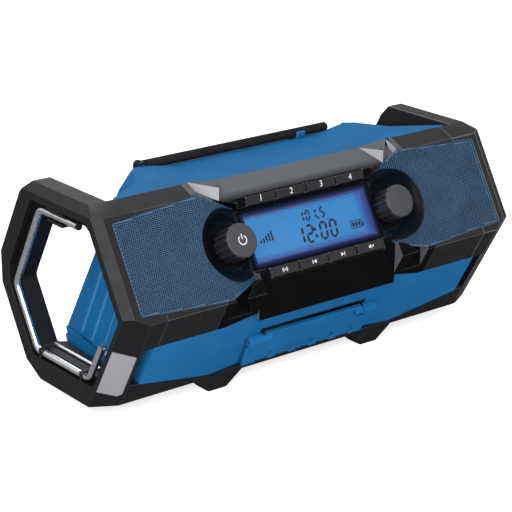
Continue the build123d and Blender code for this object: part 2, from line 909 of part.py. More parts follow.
with BuildPart() as right_speaker_cone:
    with BuildSketch(speaker_plane.offset(flange_out - basket_sheet)):
        Circle(speaker_hole - 2 * basket_sheet)
    with BuildSketch(speaker_plane.offset(flange_out - cone_depth)):
        Circle(cone_neck)
    loft()
    with BuildSketch(speaker_plane.offset(flange_out - basket_sheet)):
        Circle(speaker_hole - 3 * basket_sheet)
    with BuildSketch(speaker_plane.offset(flange_out - cone_depth + basket_sheet)):
        Circle(cone_neck - basket_sheet)
    loft(mode=Mode.SUBTRACT)

with BuildPart() as right_speaker_magnet:
    with BuildSketch(speaker_plane.offset(flange_out - speaker_depth)):
        Circle(speaker_hole * magnet_share)
    extrude(amount=-magnet_depth)

for piece, name in (
    (right_speaker_basket, "speaker_basket"),
    (right_speaker_cone, "speaker_cone"),
    (right_speaker_magnet, "speaker_magnet"),
):
    with BuildPart() as left_piece:
        mirror(piece.part, about=Plane.YZ)
    left_piece.part.label = f"left_{name}"
    export_step(left_piece.part, f"parts/left_{name}.step")
    piece.part.label = f"right_{name}"
    export_step(piece.part, f"parts/right_{name}.step")

# ---- Screws -----------------------------------------------------------------------------------
rear_plate_face = housing_rear + rear_plate
rear_plate_half = half - rear_plate_inset
rear_plate_top_half = half - rear_plate_top_inset
base_screw_x = half - base_screw_inset
base_screw_places = [(side * base_screw_x, y) for side in (-1, 1) for y in base_screw_ys]
rear_screw_places = [
    (side * (x - rear_screw_margin), z)
    for side in (-1, 1)
    for x, z in (
        (rear_plate_half, rear_plate_bottom + rear_screw_margin),
        (rear_plate_top_half, rear_panel_top - rear_screw_margin),
    )
]

with BuildPart() as base_screws:
    with BuildSketch(Plane.XY.offset(foot_height)):
        with Locations(*base_screw_places):
            Circle(screw_head)
    extrude(amount=screw_head_height)
    with BuildSketch(Plane.XY.offset(foot_height + screw_head_height)):
        with Locations(*base_screw_places):
            Circle(screw_radius)
    extrude(amount=base_screw_length)
base_screws.part.label = "base_screws"
export_step(base_screws.part, "parts/base_screws.step")

with BuildPart() as rear_screws:
    with BuildSketch(Plane.XZ.offset(-rear_plate_face)):
        with Locations(*rear_screw_places):
            Circle(screw_head)
    extrude(amount=-screw_head_height)
    with BuildSketch(Plane.XZ.offset(-rear_plate_face)):
        with Locations(*rear_screw_places):
            Circle(screw_radius)
    extrude(amount=screw_length)
rear_screws.part.label = "rear_screws"
export_step(rear_screws.part, "parts/rear_screws.step")

# ---- Housing ----------------------------------------------------------------------------------
chin_across = Plane(origin=front_ridge, x_dir=(1, 0, 0), z_dir=-chin.y_dir)
battery_rear = half_depth - battery_inset
shoe_rear = battery_rear - shoe_inset
aerial_y = upper_rear_y - aerial_inset
tunnel_half = battery_half + battery_gap + tunnel_wall
tunnel_low = battery_bottom - battery_gap - tunnel_wall
tunnel_high = battery_top + shoe_height + battery_gap + tunnel_wall


end_trim_points = [
    (end_trim_inset, setback, z) for setback, z in ((0, mid_z), (half_depth, mid_z), (half_depth, top_z))
]


def faceted_body(inset, facets):
    """The housing's prism with its outline moved in by the inset, cut at both ends by the facets."""
    with BuildPart() as body:
        with BuildSketch(Plane.YZ):
            Polygon(*housing_profile, align=None)
            if inset > 0:
                offset(amount=-inset, kind=Kind.INTERSECTION)
        extrude(amount=frame_in, both=True)
        for points in facets:
            for side in (1, -1):
                split(bisect_by=end_facet(points, side).offset(-inset), keep=Keep.BOTTOM)
    return body.part


def housing_form(inset):
    """The body and the shoulders that carry its front, with every outer face moved in."""
    with BuildPart() as form:
        add(faceted_body(inset, (shoulder_wall_points, shoulder_under_points)))
        add(faceted_body(inset, (end_wall_points, top_facet_points, rear_facet_points, end_trim_points)))
    return form.part


def wall_layer(region, proud):
    """The body inside this (y, z) region, with its ends moved out to stand proud."""
    with BuildPart() as layer:
        with BuildSketch(Plane.YZ):
            Polygon(*housing_profile, align=None)
            Polygon(*region, align=None, mode=Mode.INTERSECT)
        extrude(amount=frame_in, both=True)
        for side in (1, -1):
            split(bisect_by=end_facet(end_wall_points, side).offset(proud), keep=Keep.BOTTOM)
            split(bisect_by=end_facet(rear_facet_points, side).offset(proud), keep=Keep.BOTTOM)
            split(bisect_by=end_facet(end_trim_points, side), keep=Keep.BOTTOM)
    return layer.part


rib_fall = rib_lean * (rib_top - rib_foot)
wall_layers = []
for index in range(rib_count):
    edge_y = rib_first - index * rib_pitch
    region = [
        (-depth, rib_foot - rib_step),
        (edge_y, rib_foot - rib_step),
        (edge_y - rib_fall, rib_top),
        (-depth, rib_top),
    ]
    wall_layers.append((region, (index + 1) * rib_step))
for flange_top, proud in flange_steps:
    region = [(-depth, 0), (depth, 0), (depth, flange_top), (-depth, flange_top)]
    wall_layers.append((region, proud))


def tray_slant(side, growth=0.0):
    """The slanted plane between the housing and one end of the base tray, facing up."""
    run = half - tray_end_inset - tray_flat_half
    rise = tray_end_top - tray_top
    return Plane(
        origin=(side * tray_flat_half, 0, tray_top + growth), z_dir=(-side * rise, 0, run)
    )


def tray_lid(side):
    """Everything above one slanted end of the base tray."""
    with BuildPart() as lid:
        with BuildSketch(Plane.YZ.offset(side * tray_flat_half)):
            with Locations((0, tray_top)):
                Rectangle(2 * depth, depth, align=(Align.CENTER, Align.MIN))
        extrude(amount=side * frame_in)
        split(bisect_by=tray_slant(side), keep=Keep.TOP)
    return lid.part


def dips(growth):
    """The shallow dips in the housing's top and chin and the aerial's trough, grown inwards."""
    with BuildPart() as form:
        with BuildSketch(Plane.XZ):
            Polygon(
                (-top_dip_foot - growth, top_z - growth),
                (-top_dip_half - growth, top_z - top_dip - growth),
                (top_dip_half + growth, top_z - top_dip - growth),
                (top_dip_foot + growth, top_z - growth),
                (top_dip_foot + growth, top_z + wall),
                (-top_dip_foot - growth, top_z + wall),
                align=None,
            )
        extrude(amount=depth, both=True)
        with BuildSketch(chin_across.offset(panel_foot - 2 * panel_depth)):
            Polygon(
                (-chin_rise_foot - growth, -growth),
                (-chin_dip_half - growth, -chin_dip - growth),
                (chin_dip_half + growth, -chin_dip - growth),
                (chin_rise_foot + growth, -growth),
                (chin_rise_foot + growth, wall),
                (-chin_rise_foot - growth, wall),
                align=None,
            )
        extrude(amount=depth)
        with BuildSketch(Plane.YZ.offset(aerial_left - trough_end - growth)):
            with Locations((aerial_y - aerial_radius - gap - clip_wall - growth, aerial_trough - growth)):
                Rectangle(depth, depth, align=(Align.MIN, Align.MIN))
        extrude(amount=aerial_right - aerial_left + 2 * (trough_end + growth))
    return form.part


with BuildPart() as cavity:
    add(housing_form(wall))
    add(dips(wall), mode=Mode.SUBTRACT)
    for side in (1, -1):
        split(bisect_by=tray_slant(side, wall), keep=Keep.TOP)

with BuildPart() as main_housing:
    add(housing_form(0))
    for region, proud in wall_layers:
        add(wall_layer(region, proud))
    for side in (1, -1):
        split(bisect_by=tray_slant(side), keep=Keep.TOP)
    add(chin_step())
    add(dips(0), mode=Mode.SUBTRACT)
    add(cavity.part, mode=Mode.SUBTRACT)
    add(console_room, mode=Mode.SUBTRACT)
    with BuildSketch(speaker_plane.offset(flange_out)):
        Circle(speaker_flange)
    extrude(amount=-2 * wall, mode=Mode.SUBTRACT)
    with BuildSketch(Plane(origin=mirror_x(speaker_centre), x_dir=front.x_dir, z_dir=front.z_dir)):
        Circle(speaker_flange)
    extrude(amount=-2 * panel_depth, mode=Mode.SUBTRACT)
    with BuildSketch(Plane.XZ.offset(-housing_rear - wall)):
        with Locations((0, (tunnel_low + tunnel_high) / 2)):
            Rectangle(2 * tunnel_half, tunnel_high - tunnel_low)
    extrude(amount=4 * wall, mode=Mode.SUBTRACT)
    with BuildSketch(chin):
        with Locations((0, -(bay_high + bay_low) / 2)):
            Rectangle(2 * (bay_half + bay_wall), bay_low - bay_high + 2 * bay_wall)
    extrude(amount=-3 * wall, mode=Mode.SUBTRACT)
    with BuildSketch(Plane.XY.offset(prow_floor)):
        Polygon(
            (-prow_outer, band_back),
            (-prow_back_x, brow_back[0]),
            (prow_back_x, brow_back[0]),
            (prow_outer, band_back),
            (prow_outer, -half_depth),
            (-prow_outer, -half_depth),
            align=None,
        )
    extrude(amount=half_height, mode=Mode.SUBTRACT)
    add(base_screws.part, mode=Mode.SUBTRACT)
    add(rear_screws.part, mode=Mode.SUBTRACT)
main_housing.part.label = "main_housing"
export_step(main_housing.part, "parts/main_housing.step")

tray_front_y = on_chin(front_height, 0)[0]
tray_rear_y = lower_rear_y - (tray_top - foot_height) * rear_cut_slope
tray_lip = tray_end_top + wall
with BuildPart() as base_tray:
    with BuildSketch(Plane.YZ.offset(-frame_in)):
        Polygon(
            (tray_front_y, foot_height),
            on_chin((mid_z - tray_top) / lean_cos, 0),
            (lower_rear_y, tray_top),
            (tray_rear_y, foot_height),
            align=None,
        )
    extrude(amount=2 * frame_in)
    for side in (1, -1):
        with BuildSketch(Plane.YZ.offset(side * tray_flat_half)):
            Polygon(
                on_chin((mid_z - tray_top) / lean_cos, 0),
                on_chin((mid_z - tray_lip) / lean_cos, 0),
                (lower_rear_y + (tray_lip - tray_top) * rear_cut_slope, tray_lip),
                (lower_rear_y, tray_top),
                align=None,
            )
        extrude(amount=side * (frame_in - tray_flat_half))
    for side in (1, -1):
        add(tray_lid(side), mode=Mode.SUBTRACT)
    add(base_screws.part, mode=Mode.SUBTRACT)
base_tray.part.label = "base_tray"
export_step(base_tray.part, "parts/base_tray.step")

foot_places = (
    (tray_front_y + foot_front_inset, -foot_splay),
    (tray_rear_y - foot_rear_inset, foot_splay),
)
with BuildPart() as feet:
    for side in (1, -1):
        for y, lean in foot_places:
            with BuildSketch(Plane.XY.offset(foot_height)):
                with Locations((side * foot_x, y)):
                    Rectangle(*foot_top)
            with BuildSketch(Plane.XY):
                with Locations((side * foot_x, y + lean)):
                    Rectangle(*foot_bottom)
            loft()
feet.part.label = "feet"
export_step(feet.part, "parts/feet.step")

# ---- Rear housing and battery -----------------------------------------------------------------
with BuildPart() as rear_housing:
    with BuildSketch(Plane.XZ.offset(-housing_rear)):
        Polygon(
            (-rear_plate_half, rear_plate_bottom),
            (rear_plate_half, rear_plate_bottom),
            (rear_plate_half, rear_plate_shoulder),
            (rear_plate_top_half, rear_panel_top),
            (-rear_plate_top_half, rear_panel_top),
            (-rear_plate_half, rear_plate_shoulder),
            align=None,
        )
    extrude(amount=-rear_plate)
    with BuildSketch(Plane.XZ.offset(-rear_plate_face)):
        with Locations((0, (tunnel_low + tunnel_high) / 2)):
            Rectangle(2 * tunnel_half, tunnel_high - tunnel_low)
    extrude(amount=rear_plate_face - battery_front + battery_gap + tunnel_wall)
    with BuildSketch(Plane.XZ.offset(-rear_plate_face)):
        with Locations((0, (tunnel_low + tunnel_high) / 2)):
            Rectangle(2 * (tunnel_half - tunnel_wall), tunnel_high - tunnel_low - 2 * tunnel_wall)
    extrude(amount=rear_plate_face - battery_front + battery_gap, mode=Mode.SUBTRACT)
    add(rear_screws.part, mode=Mode.SUBTRACT)
rear_housing.part.label = "rear_housing"
export_step(rear_housing.part, "parts/rear_housing.step")

latch_pocket = latch_length - latch_proud + latch_travel + latch_room
latch_block_half = latch_half + gap + latch_wall
latch_block_top = battery_top + latch_height + 2 * gap + latch_wall
with BuildPart() as battery_rails:
    for side in (1, -1):
        with BuildSketch(Plane.XZ.offset(-shoe_rear)):
            with Locations((side * (shoe_half + gap), battery_top + gap)):
                Rectangle(
                    tunnel_half - tunnel_wall - shoe_half - gap,
                    shoe_height + battery_gap - gap,
                    align=(Align.MIN if side > 0 else Align.MAX, Align.MIN),
                )
            with Locations((side * (shoe_half - groove_depth + gap), battery_top + groove_height + gap)):
                Rectangle(
                    groove_depth + overlap,
                    groove_height - 2 * gap,
                    align=(Align.MIN if side > 0 else Align.MAX, Align.MIN),
                )
        extrude(amount=shoe_rear - battery_front)
battery_rails.part.label = "battery_rails"
export_step(battery_rails.part, "parts/battery_rails.step")

with BuildPart() as battery_case:
    with BuildSketch(Plane.XZ.offset(-battery_rear)):
        with Locations((0, (battery_bottom + battery_top) / 2)):
            RectangleRounded(2 * battery_half, battery_top - battery_bottom, battery_fillet)
    extrude(amount=battery_rear - battery_front)
    with BuildSketch(Plane.XZ.offset(-battery_rear + battery_wall)):
        with Locations((0, (battery_bottom + battery_top) / 2)):
            Rectangle(2 * (battery_half - battery_wall), battery_top - battery_bottom - 2 * battery_wall)
    extrude(amount=battery_rear - battery_front - 2 * battery_wall, mode=Mode.SUBTRACT)
    with BuildSketch(Plane.XZ.offset(-shoe_rear)):
        with Locations((0, battery_top)):
            Rectangle(2 * shoe_half, shoe_height, align=(Align.CENTER, Align.MIN))
        for side in (1, -1):
            with Locations((side * shoe_half, battery_top + groove_height)):
                Rectangle(
                    2 * groove_depth, groove_height,
                    align=(Align.CENTER, Align.MIN), mode=Mode.SUBTRACT,
                )
    extrude(amount=shoe_rear - battery_front - shoe_setback)
    with BuildSketch(Plane.XZ.offset(-battery_rear)):
        with Locations((0, battery_top - overlap)):
            Rectangle(
                2 * latch_block_half, latch_block_top - battery_top + overlap,
                align=(Align.CENTER, Align.MIN),
            )
    extrude(amount=latch_pocket + latch_wall)
    with BuildSketch(Plane.XZ.offset(-battery_rear)):
        with Locations((0, battery_top)):
            Rectangle(2 * (latch_half + gap), latch_height + 2 * gap, align=(Align.CENTER, Align.MIN))
    extrude(amount=latch_pocket, mode=Mode.SUBTRACT)
battery_case.part.label = "battery_case"
export_step(battery_case.part, "parts/battery_case.step")

cell_columns = int((battery_rear - battery_front - 2 * battery_wall) / cell_pitch)
cell_low = battery_bottom + battery_wall + cell_radius + cell_gap
cell_first = battery_front + battery_wall + cell_radius + cell_gap
with BuildPart() as battery_cells:
    with BuildSketch(Plane.YZ.offset(-cell_length / 2)):
        for row in range(2):
            for index in range(cell_columns):
                with Locations((cell_first + index * cell_pitch, cell_low + row * cell_pitch)):
                    Circle(cell_radius)
    extrude(amount=cell_length)
battery_cells.part.label = "battery_cells"
export_step(battery_cells.part, "parts/battery_cells.step")

with BuildPart() as battery_latch:
    with BuildSketch(Plane.XZ.offset(-battery_rear - latch_proud)):
        with Locations((0, battery_top + gap)):
            Rectangle(2 * latch_half, latch_height, align=(Align.CENTER, Align.MIN))
    extrude(amount=latch_length)
battery_latch.part.label = "battery_latch"
export_step(battery_latch.part, "parts/battery_latch.step")

with BuildPart() as terminal_block:
    with BuildSketch(Plane.XZ.offset(-battery_front)):
        with Locations((0, battery_top + gap)):
            Rectangle(2 * (shoe_half - groove_depth), shoe_height, align=(Align.CENTER, Align.MIN))
    extrude(amount=battery_gap)
    for x in terminal_xs:
        with BuildSketch(Plane.XZ.offset(-battery_front)):
            with Locations((x, battery_top + shoe_height / 2)):
                Rectangle(terminal_thickness, terminal_height)
        extrude(amount=-shoe_setback + gap)
terminal_block.part.label = "terminal_block"
export_step(terminal_block.part, "parts/terminal_block.step")

with BuildPart() as main_board:
    with BuildSketch(Plane.XY.offset(tunnel_high + board_standoff)):
        with Locations((0, board_centre_y)):
            Rectangle(*main_board_size)
    extrude(amount=board_thickness)
    with BuildSketch(Plane.XY.offset(tunnel_high)):
        with Locations((0, board_centre_y)):
            with GridLocations(*standoff_spacing, 2, 2):
                Circle(standoff_radius)
    extrude(amount=board_standoff)
main_board.part.label = "main_board"
export_step(main_board.part, "parts/main_board.step")

# ---- Service compartment ----------------------------------------------------------------------
bay_middle = -(bay_high + bay_low) / 2
bay_height = bay_low - bay_high
with BuildPart() as compartment_tub:
    with BuildSketch(chin.offset(-chin_dip)):
        with Locations((0, bay_middle)):
            Rectangle(2 * (bay_half + bay_wall), bay_height + 2 * bay_wall)
    extrude(amount=chin_dip - bay_depth - bay_wall)
    with BuildSketch(chin.offset(-chin_dip)):
        with Locations((0, bay_middle)):
            Rectangle(2 * bay_half, bay_height)
    extrude(amount=chin_dip - bay_depth, mode=Mode.SUBTRACT)
compartment_tub.part.label = "compartment_tub"
export_step(compartment_tub.part, "parts/compartment_tub.step")

bay_floor = chin.offset(-bay_depth)
with BuildPart() as aux_jack:
    with BuildSketch(bay_floor):
        with Locations((jack_x, bay_middle)):
            Circle(jack_radius)
            Circle(jack_bore, mode=Mode.SUBTRACT)
    extrude(amount=jack_height)
aux_jack.part.label = "aux_jack"
export_step(aux_jack.part, "parts/aux_jack.step")

with BuildPart() as usb_socket:
    with BuildSketch(bay_floor):
        with Locations((usb_x, bay_middle)):
            Rectangle(*usb_size)
            Rectangle(usb_size[0] - 2 * usb_shell, usb_size[1] - 2 * usb_shell, mode=Mode.SUBTRACT)
            Rectangle(*usb_tongue)
            Rectangle(usb_size[0] - usb_shell, usb_web)
    extrude(amount=usb_height)
usb_socket.part.label = "usb_socket"
export_step(usb_socket.part, "parts/usb_socket.step")

with BuildPart() as backup_cells:
    with BuildSketch(Plane.YZ.offset(backup_x)):
        for step in (-1, 1):
            with Locations(on_chin(-bay_middle + step * (backup_radius + gap), -bay_depth + backup_radius)):
                Circle(backup_radius)
    extrude(amount=backup_length)
backup_cells.part.label = "backup_cells"
export_step(backup_cells.part, "parts/backup_cells.step")

hinge_point = on_chin(hinge_down, hinge_out)
with BuildPart() as door_hinge_pins:
    for side in (1, -1):
        with BuildSketch(Plane.YZ.offset(side * pin_inner)):
            with Locations(hinge_point):
                Circle(hinge_pin)
        extrude(amount=side * (ear_outer - pin_inner))
door_hinge_pins.part.label = "door_hinge_pins"
export_step(door_hinge_pins.part, "parts/door_hinge_pins.step")

with BuildPart() as hinge_ears:
    for side in (1, -1):
        with BuildSketch(Plane.YZ.offset(side * ear_inner)):
            Polygon(
                on_chin(ear_high, -chin_dip),
                on_chin(ear_high + ear_slope, ear_face),
                on_chin(ear_low - ear_slope, ear_face),
                on_chin(ear_low, -chin_dip),
                align=None,
            )
        extrude(amount=side * (ear_outer - ear_inner))
    add(door_hinge_pins.part, mode=Mode.SUBTRACT)
    add(compartment_tub.part, mode=Mode.SUBTRACT)
hinge_ears.part.label = "hinge_ears"
export_step(hinge_ears.part, "parts/hinge_ears.step")

with BuildPart() as service_door:
    with BuildSketch(chin.offset(door_face)):
        Polygon(
            (-door_neck_half, -door_top),
            (-door_neck_half, -door_wing),
            (-door_shoulder, -door_wing),
            (-door_half, -door_bottom),
            (door_half, -door_bottom),
            (door_shoulder, -door_wing),
            (door_neck_half, -door_wing),
            (door_neck_half, -door_top),
            align=None,
        )
    extrude(amount=-door_thickness)
    for side in (1, -1):
        with BuildSketch(Plane.YZ.offset(side * knuckle_inner)):
            with Locations(hinge_point):
                Circle(knuckle_radius)
        extrude(amount=side * (ear_inner - gap - knuckle_inner))
    for side in (1, -1):
        with BuildSketch(Plane.YZ.offset(side * knuckle_inner)):
            with Locations(hinge_point):
                Circle(hinge_pin + running)
        extrude(amount=side * (ear_inner - knuckle_inner), mode=Mode.SUBTRACT)
    with BuildSketch(chin.offset(door_face)):
        for index in range(scallop_count):
            x = (index - (scallop_count - 1) / 2) * scallop_pitch
            with Locations((x, -scallop_down)):
                SlotCenterToCenter(scallop_length, 2 * scallop_radius)
    extrude(amount=-scallop_drop, mode=Mode.SUBTRACT)
service_door.part.label = "service_door"
export_step(service_door.part, "parts/service_door.step")

# ---- Aerial -----------------------------------------------------------------------------------
aerial_pivot = Plane.XZ.offset(-aerial_y)
with BuildPart() as aerial:
    with BuildSketch(Plane.YZ.offset(aerial_left + aerial_shoulder)):
        with Locations((aerial_y, aerial_z)):
            Circle(aerial_radius)
    extrude(amount=aerial_right - aerial_left - aerial_shoulder)
    fillet(aerial.faces().sort_by(Axis.X)[-1].edges(), radius=aerial_radius / 2)
    with BuildSketch(aerial_pivot):
        with Locations((aerial_left, aerial_z)):
            Circle(aerial_radius)
        with Locations((aerial_left, aerial_z)):
            Rectangle(2 * aerial_radius, tang_height, align=(Align.MIN, Align.CENTER))
    extrude(amount=aerial_tang / 2, both=True)
    with BuildSketch(aerial_pivot):
        with Locations((aerial_left, aerial_z)):
            Circle(aerial_pin + running)
    extrude(amount=aerial_radius, both=True, mode=Mode.SUBTRACT)
aerial.part.label = "aerial"
export_step(aerial.part, "parts/aerial.step")

with BuildPart() as aerial_pin_piece:
    with BuildSketch(aerial_pivot):
        with Locations((aerial_left, aerial_z)):
            Circle(aerial_pin)
    extrude(amount=aerial_tang / 2 + gap + bracket_ear, both=True)
aerial_pin_piece.part.label = "aerial_pin"
export_step(aerial_pin_piece.part, "parts/aerial_pin.step")

with BuildPart() as aerial_bracket:
    with BuildSketch(aerial_pivot):
        with Locations((aerial_left, aerial_trough)):
            Rectangle(2 * aerial_radius, aerial_z - aerial_trough, align=(Align.CENTER, Align.MIN))
        with Locations((aerial_left, aerial_z)):
            Circle(aerial_radius)
    extrude(amount=aerial_tang / 2 + gap + bracket_ear, both=True)
    with BuildSketch(aerial_pivot):
        with Locations((aerial_left, aerial_z - aerial_radius - gap)):
            Rectangle(4 * aerial_radius, 4 * aerial_radius, align=(Align.CENTER, Align.MIN))
    extrude(amount=aerial_tang / 2 + gap, both=True, mode=Mode.SUBTRACT)
    add(aerial_pin_piece.part, mode=Mode.SUBTRACT)
aerial_bracket.part.label = "aerial_bracket"
export_step(aerial_bracket.part, "parts/aerial_bracket.step")

with BuildPart() as aerial_clip:
    with BuildSketch(Plane.YZ.offset(aerial_clip_x)):
        with Locations((aerial_y, aerial_trough)):
            Rectangle(
                2 * (aerial_radius + gap + clip_wall),
                aerial_z - aerial_trough + aerial_radius / 2,
                align=(Align.CENTER, Align.MIN),
            )
        with Locations((aerial_y, aerial_z)):
            Circle(aerial_radius + gap, mode=Mode.SUBTRACT)
            Rectangle(
                2 * (aerial_radius + gap), 4 * aerial_radius,
                align=(Align.CENTER, Align.MIN), mode=Mode.SUBTRACT,
            )
    extrude(amount=aerial_clip_width / 2, both=True)
aerial_clip.part.label = "aerial_clip"
export_step(aerial_clip.part, "parts/aerial_clip.step")

# ---- Hook -------------------------------------------------------------------------------------
hook_x = -half + hook_inset
hook_plane = Plane.YZ.offset(hook_x)
hook_low_rear = half_depth - hook_low_rear_inset
hook_low_front = hook_low_front_inset - half_depth
tip_plane = Plane.XZ.offset(half_depth - hook_tip_inset)
with BuildPart() as hook:
    with BuildLine(hook_plane) as hook_path:
        FilletPolyline(
            (hook_tip_inset - half_depth, hook_top_z),
            (half_depth - hook_top_inset, hook_top_z),
            (half_depth - hook_rear_inset, hook_rear_z),
            (hook_low_rear, hook_pivot_z),
            (hook_low_front, hook_pivot_z),
            (hook_leg_inset - half_depth, hook_leg_z),
            radius=hook_bend,
        )
    with BuildSketch(Plane(origin=hook_path.line @ 0, z_dir=hook_path.line % 0)):
        Circle(hook_radius)
    sweep()
    with BuildSketch(tip_plane):
        with Locations((hook_x, hook_top_z)):
            Circle(plug_radius + running)
    extrude(amount=-plug_length - gap, mode=Mode.SUBTRACT)
hook.part.label = "hook"
export_step(hook.part, "parts/hook.step")

with BuildPart() as hook_tip:
    with BuildSketch(tip_plane):
        with Locations((hook_x, hook_top_z)):
            Circle(hook_radius)
    extrude(amount=tip_length)
    fillet(hook_tip.faces().sort_by(Axis.Y)[0].edges(), radius=tip_edge)
    with BuildSketch(tip_plane):
        with Locations((hook_x, hook_top_z)):
            Circle(plug_radius)
    extrude(amount=-plug_length)
hook_tip.part.label = "hook_tip"
export_step(hook_tip.part, "parts/hook_tip.step")

saddle_foot = mid_z - half_height + seat_bottom
with BuildPart() as hook_saddles:
    for y in (hook_low_front + saddle_setback, hook_low_rear - saddle_setback):
        with BuildSketch(Plane.XZ.offset(-y)):
            with Locations((hook_x, saddle_foot)):
                Rectangle(
                    2 * (hook_inset - gap),
                    hook_pivot_z + hook_radius + saddle_wall - saddle_foot,
                    align=(Align.CENTER, Align.MIN),
                )
            with Locations((hook_x, hook_pivot_z)):
                Circle(hook_radius + running, mode=Mode.SUBTRACT)
        extrude(amount=saddle_half, both=True)
hook_saddles.part.label = "hook_saddles"
export_step(hook_saddles.part, "parts/hook_saddles.step")

clip_low_z = hook_top_z - hook_radius - gap - clip_jaw
clip_high_z = top_z - seat_top
with BuildPart() as hook_clip:
    with BuildSketch(Plane.XZ.offset(-clip_low)):
        with Locations((-half + gap, clip_low_z)):
            Rectangle(
                seat_depth - gap, clip_high_z - clip_low_z, align=(Align.MIN, Align.MIN)
            )
        with Locations((hook_x, hook_top_z)):
            Circle(hook_radius + gap, mode=Mode.SUBTRACT)
            Rectangle(
                hook_inset + overlap, 2 * (hook_radius + gap),
                align=(Align.MAX, Align.CENTER), mode=Mode.SUBTRACT,
            )
    extrude(amount=clip_low - clip_high)
hook_clip.part.label = "hook_clip"
export_step(hook_clip.part, "parts/hook_clip.step")

lip_floor = saddle_foot + lip_edge
with BuildPart() as hook_spring_bar:
    with BuildSketch(Plane.XZ.offset(-hook_low_front - spring_bar_setback)):
        with Locations((-half + spring_bar_inset, lip_floor + spring_bar_radius)):
            Circle(spring_bar_radius)
    extrude(amount=hook_low_front - hook_low_rear + 2 * spring_bar_setback)
hook_spring_bar.part.label = "hook_spring_bar"
export_step(hook_spring_bar.part, "parts/hook_spring_bar.step")

with BuildPart() as hook_stop_pin:
    with BuildSketch(stop_pin_front):
        with Locations((-half + stop_pin_inset, stop_pin_z)):
            Circle(stop_pin_radius)
    extrude(amount=-stop_pin_length)
hook_stop_pin.part.label = "hook_stop_pin"
export_step(hook_stop_pin.part, "parts/hook_stop_pin.step")
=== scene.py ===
"""Looks of the jobsite radio: moulded shells, perforated grilles, lit display, knobs, marks and hook.

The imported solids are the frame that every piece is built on. Metres, -Y is the front, +Z is up.
Heights on the leaning front are measured up from its ridge, and "out" is measured square to it.
"""

from math import cos, hypot, pi, radians, sin, tau

import bmesh
import bpy
from bpy.props import FloatProperty, FloatVectorProperty, IntProperty, PointerProperty
from mathutils import Matrix, Vector
from mathutils.geometry import delaunay_2d_cdt


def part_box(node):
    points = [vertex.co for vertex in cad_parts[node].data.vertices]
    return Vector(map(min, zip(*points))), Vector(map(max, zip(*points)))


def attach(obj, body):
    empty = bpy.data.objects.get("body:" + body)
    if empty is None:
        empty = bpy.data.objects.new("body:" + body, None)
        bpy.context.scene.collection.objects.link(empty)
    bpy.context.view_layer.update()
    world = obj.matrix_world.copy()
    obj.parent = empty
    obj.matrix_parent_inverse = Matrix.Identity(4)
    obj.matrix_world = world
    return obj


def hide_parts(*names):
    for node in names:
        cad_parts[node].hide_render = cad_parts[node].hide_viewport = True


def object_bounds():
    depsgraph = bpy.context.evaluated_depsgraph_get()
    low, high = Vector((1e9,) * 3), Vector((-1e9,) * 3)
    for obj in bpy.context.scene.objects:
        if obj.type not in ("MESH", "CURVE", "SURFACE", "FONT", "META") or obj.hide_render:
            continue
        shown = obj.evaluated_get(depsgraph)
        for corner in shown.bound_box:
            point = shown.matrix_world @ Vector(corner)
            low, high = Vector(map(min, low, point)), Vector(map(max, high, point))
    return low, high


bl_info = {
    "name": "Jobsite radio looks",
    "version": (1, 0, 0),
    "blender": (4, 5, 0),
    "location": "View3D > Sidebar > Radio",
    "description": "Dresses the packed jobsite radio in moulded plastic, perforated sheet and chrome",
    "category": "Object",
}

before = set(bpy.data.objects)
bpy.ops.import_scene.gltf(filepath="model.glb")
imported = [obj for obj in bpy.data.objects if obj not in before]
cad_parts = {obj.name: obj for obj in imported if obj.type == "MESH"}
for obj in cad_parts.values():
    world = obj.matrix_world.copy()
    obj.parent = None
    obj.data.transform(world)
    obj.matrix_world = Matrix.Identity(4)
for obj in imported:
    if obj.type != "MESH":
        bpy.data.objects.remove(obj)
cad_low, cad_high = [Vector(corner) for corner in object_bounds()]

MM = 0.001
LEAN = radians(30)
FRAME_LOW, FRAME_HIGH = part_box("right_end_frame")
RIDGE = Vector((0, FRAME_LOW.y, (FRAME_LOW.z + FRAME_HIGH.z) / 2))
OUTWARD = Vector((0, -cos(LEAN), sin(LEAN)))
UPWARD = Vector((0, sin(LEAN), cos(LEAN)))
RIGHTWARD = Vector((1, 0, 0))

# Ribs on the slanted end walls. Each leans forward as it rises, and stands a step prouder than the last.
RIB_COUNT = 3
RIB_FIRST = 32.6 * MM
RIB_PITCH = 19.3 * MM
RIB_LEAN = 0.29
RIB_FOOT = 41.0 * MM
RIB_TOP = 139.0 * MM
RIB_STEP = 1.3 * MM
RIB_SUNK = 0.2 * MM
RIB_PROUD = 1.0 * MM
WALL_TRIM = 151.2 * MM
# Three points of the right end wall: inset from the end, setback from the front, and height.
END_WALL = [
    Vector((cad_high.x - inset * MM, cad_low.y + setback * MM, height * MM))
    for inset, setback, height in ((26.0, 37.0, 37.0), (40.0, 141.0, 37.0), (60.0, 77.0, 158.0))
]

# The display's window in its recess, the knobs and the buttons' faces, all on the leaning front.
RECESS_OUT = -10.0 * MM
WINDOW_HALF = 56.0 * MM
WINDOW_LOW = 22.3 * MM
WINDOW_HIGH = 57.4 * MM
LCD_OUT = -11.9 * MM
SPILL = 3.2 * MM
SPILL_DEPTH = 5.0 * MM
SPILL_COLOUR = (0.030, 0.050, 0.230, 1)
SPILL_STRENGTH = 0.6
KNOB_X = 73.8 * MM
KNOB_UP = 40.0 * MM
PRESET_PITCH = 27.8 * MM
FUNCTION_PITCH = 27.0 * MM
# The buttons' slanted faces: (up, out) at the lower and at the upper edge.
PRESET_FACE = ((63.4 * MM, -3.0 * MM), (70.1 * MM, -1.0 * MM))
FUNCTION_FACE = ((9.7 * MM, -3.2 * MM), (17.0 * MM, -2.0 * MM))
BUTTON_COUNT = 4
DECAL = 0.05 * MM
SHARP = radians(24)


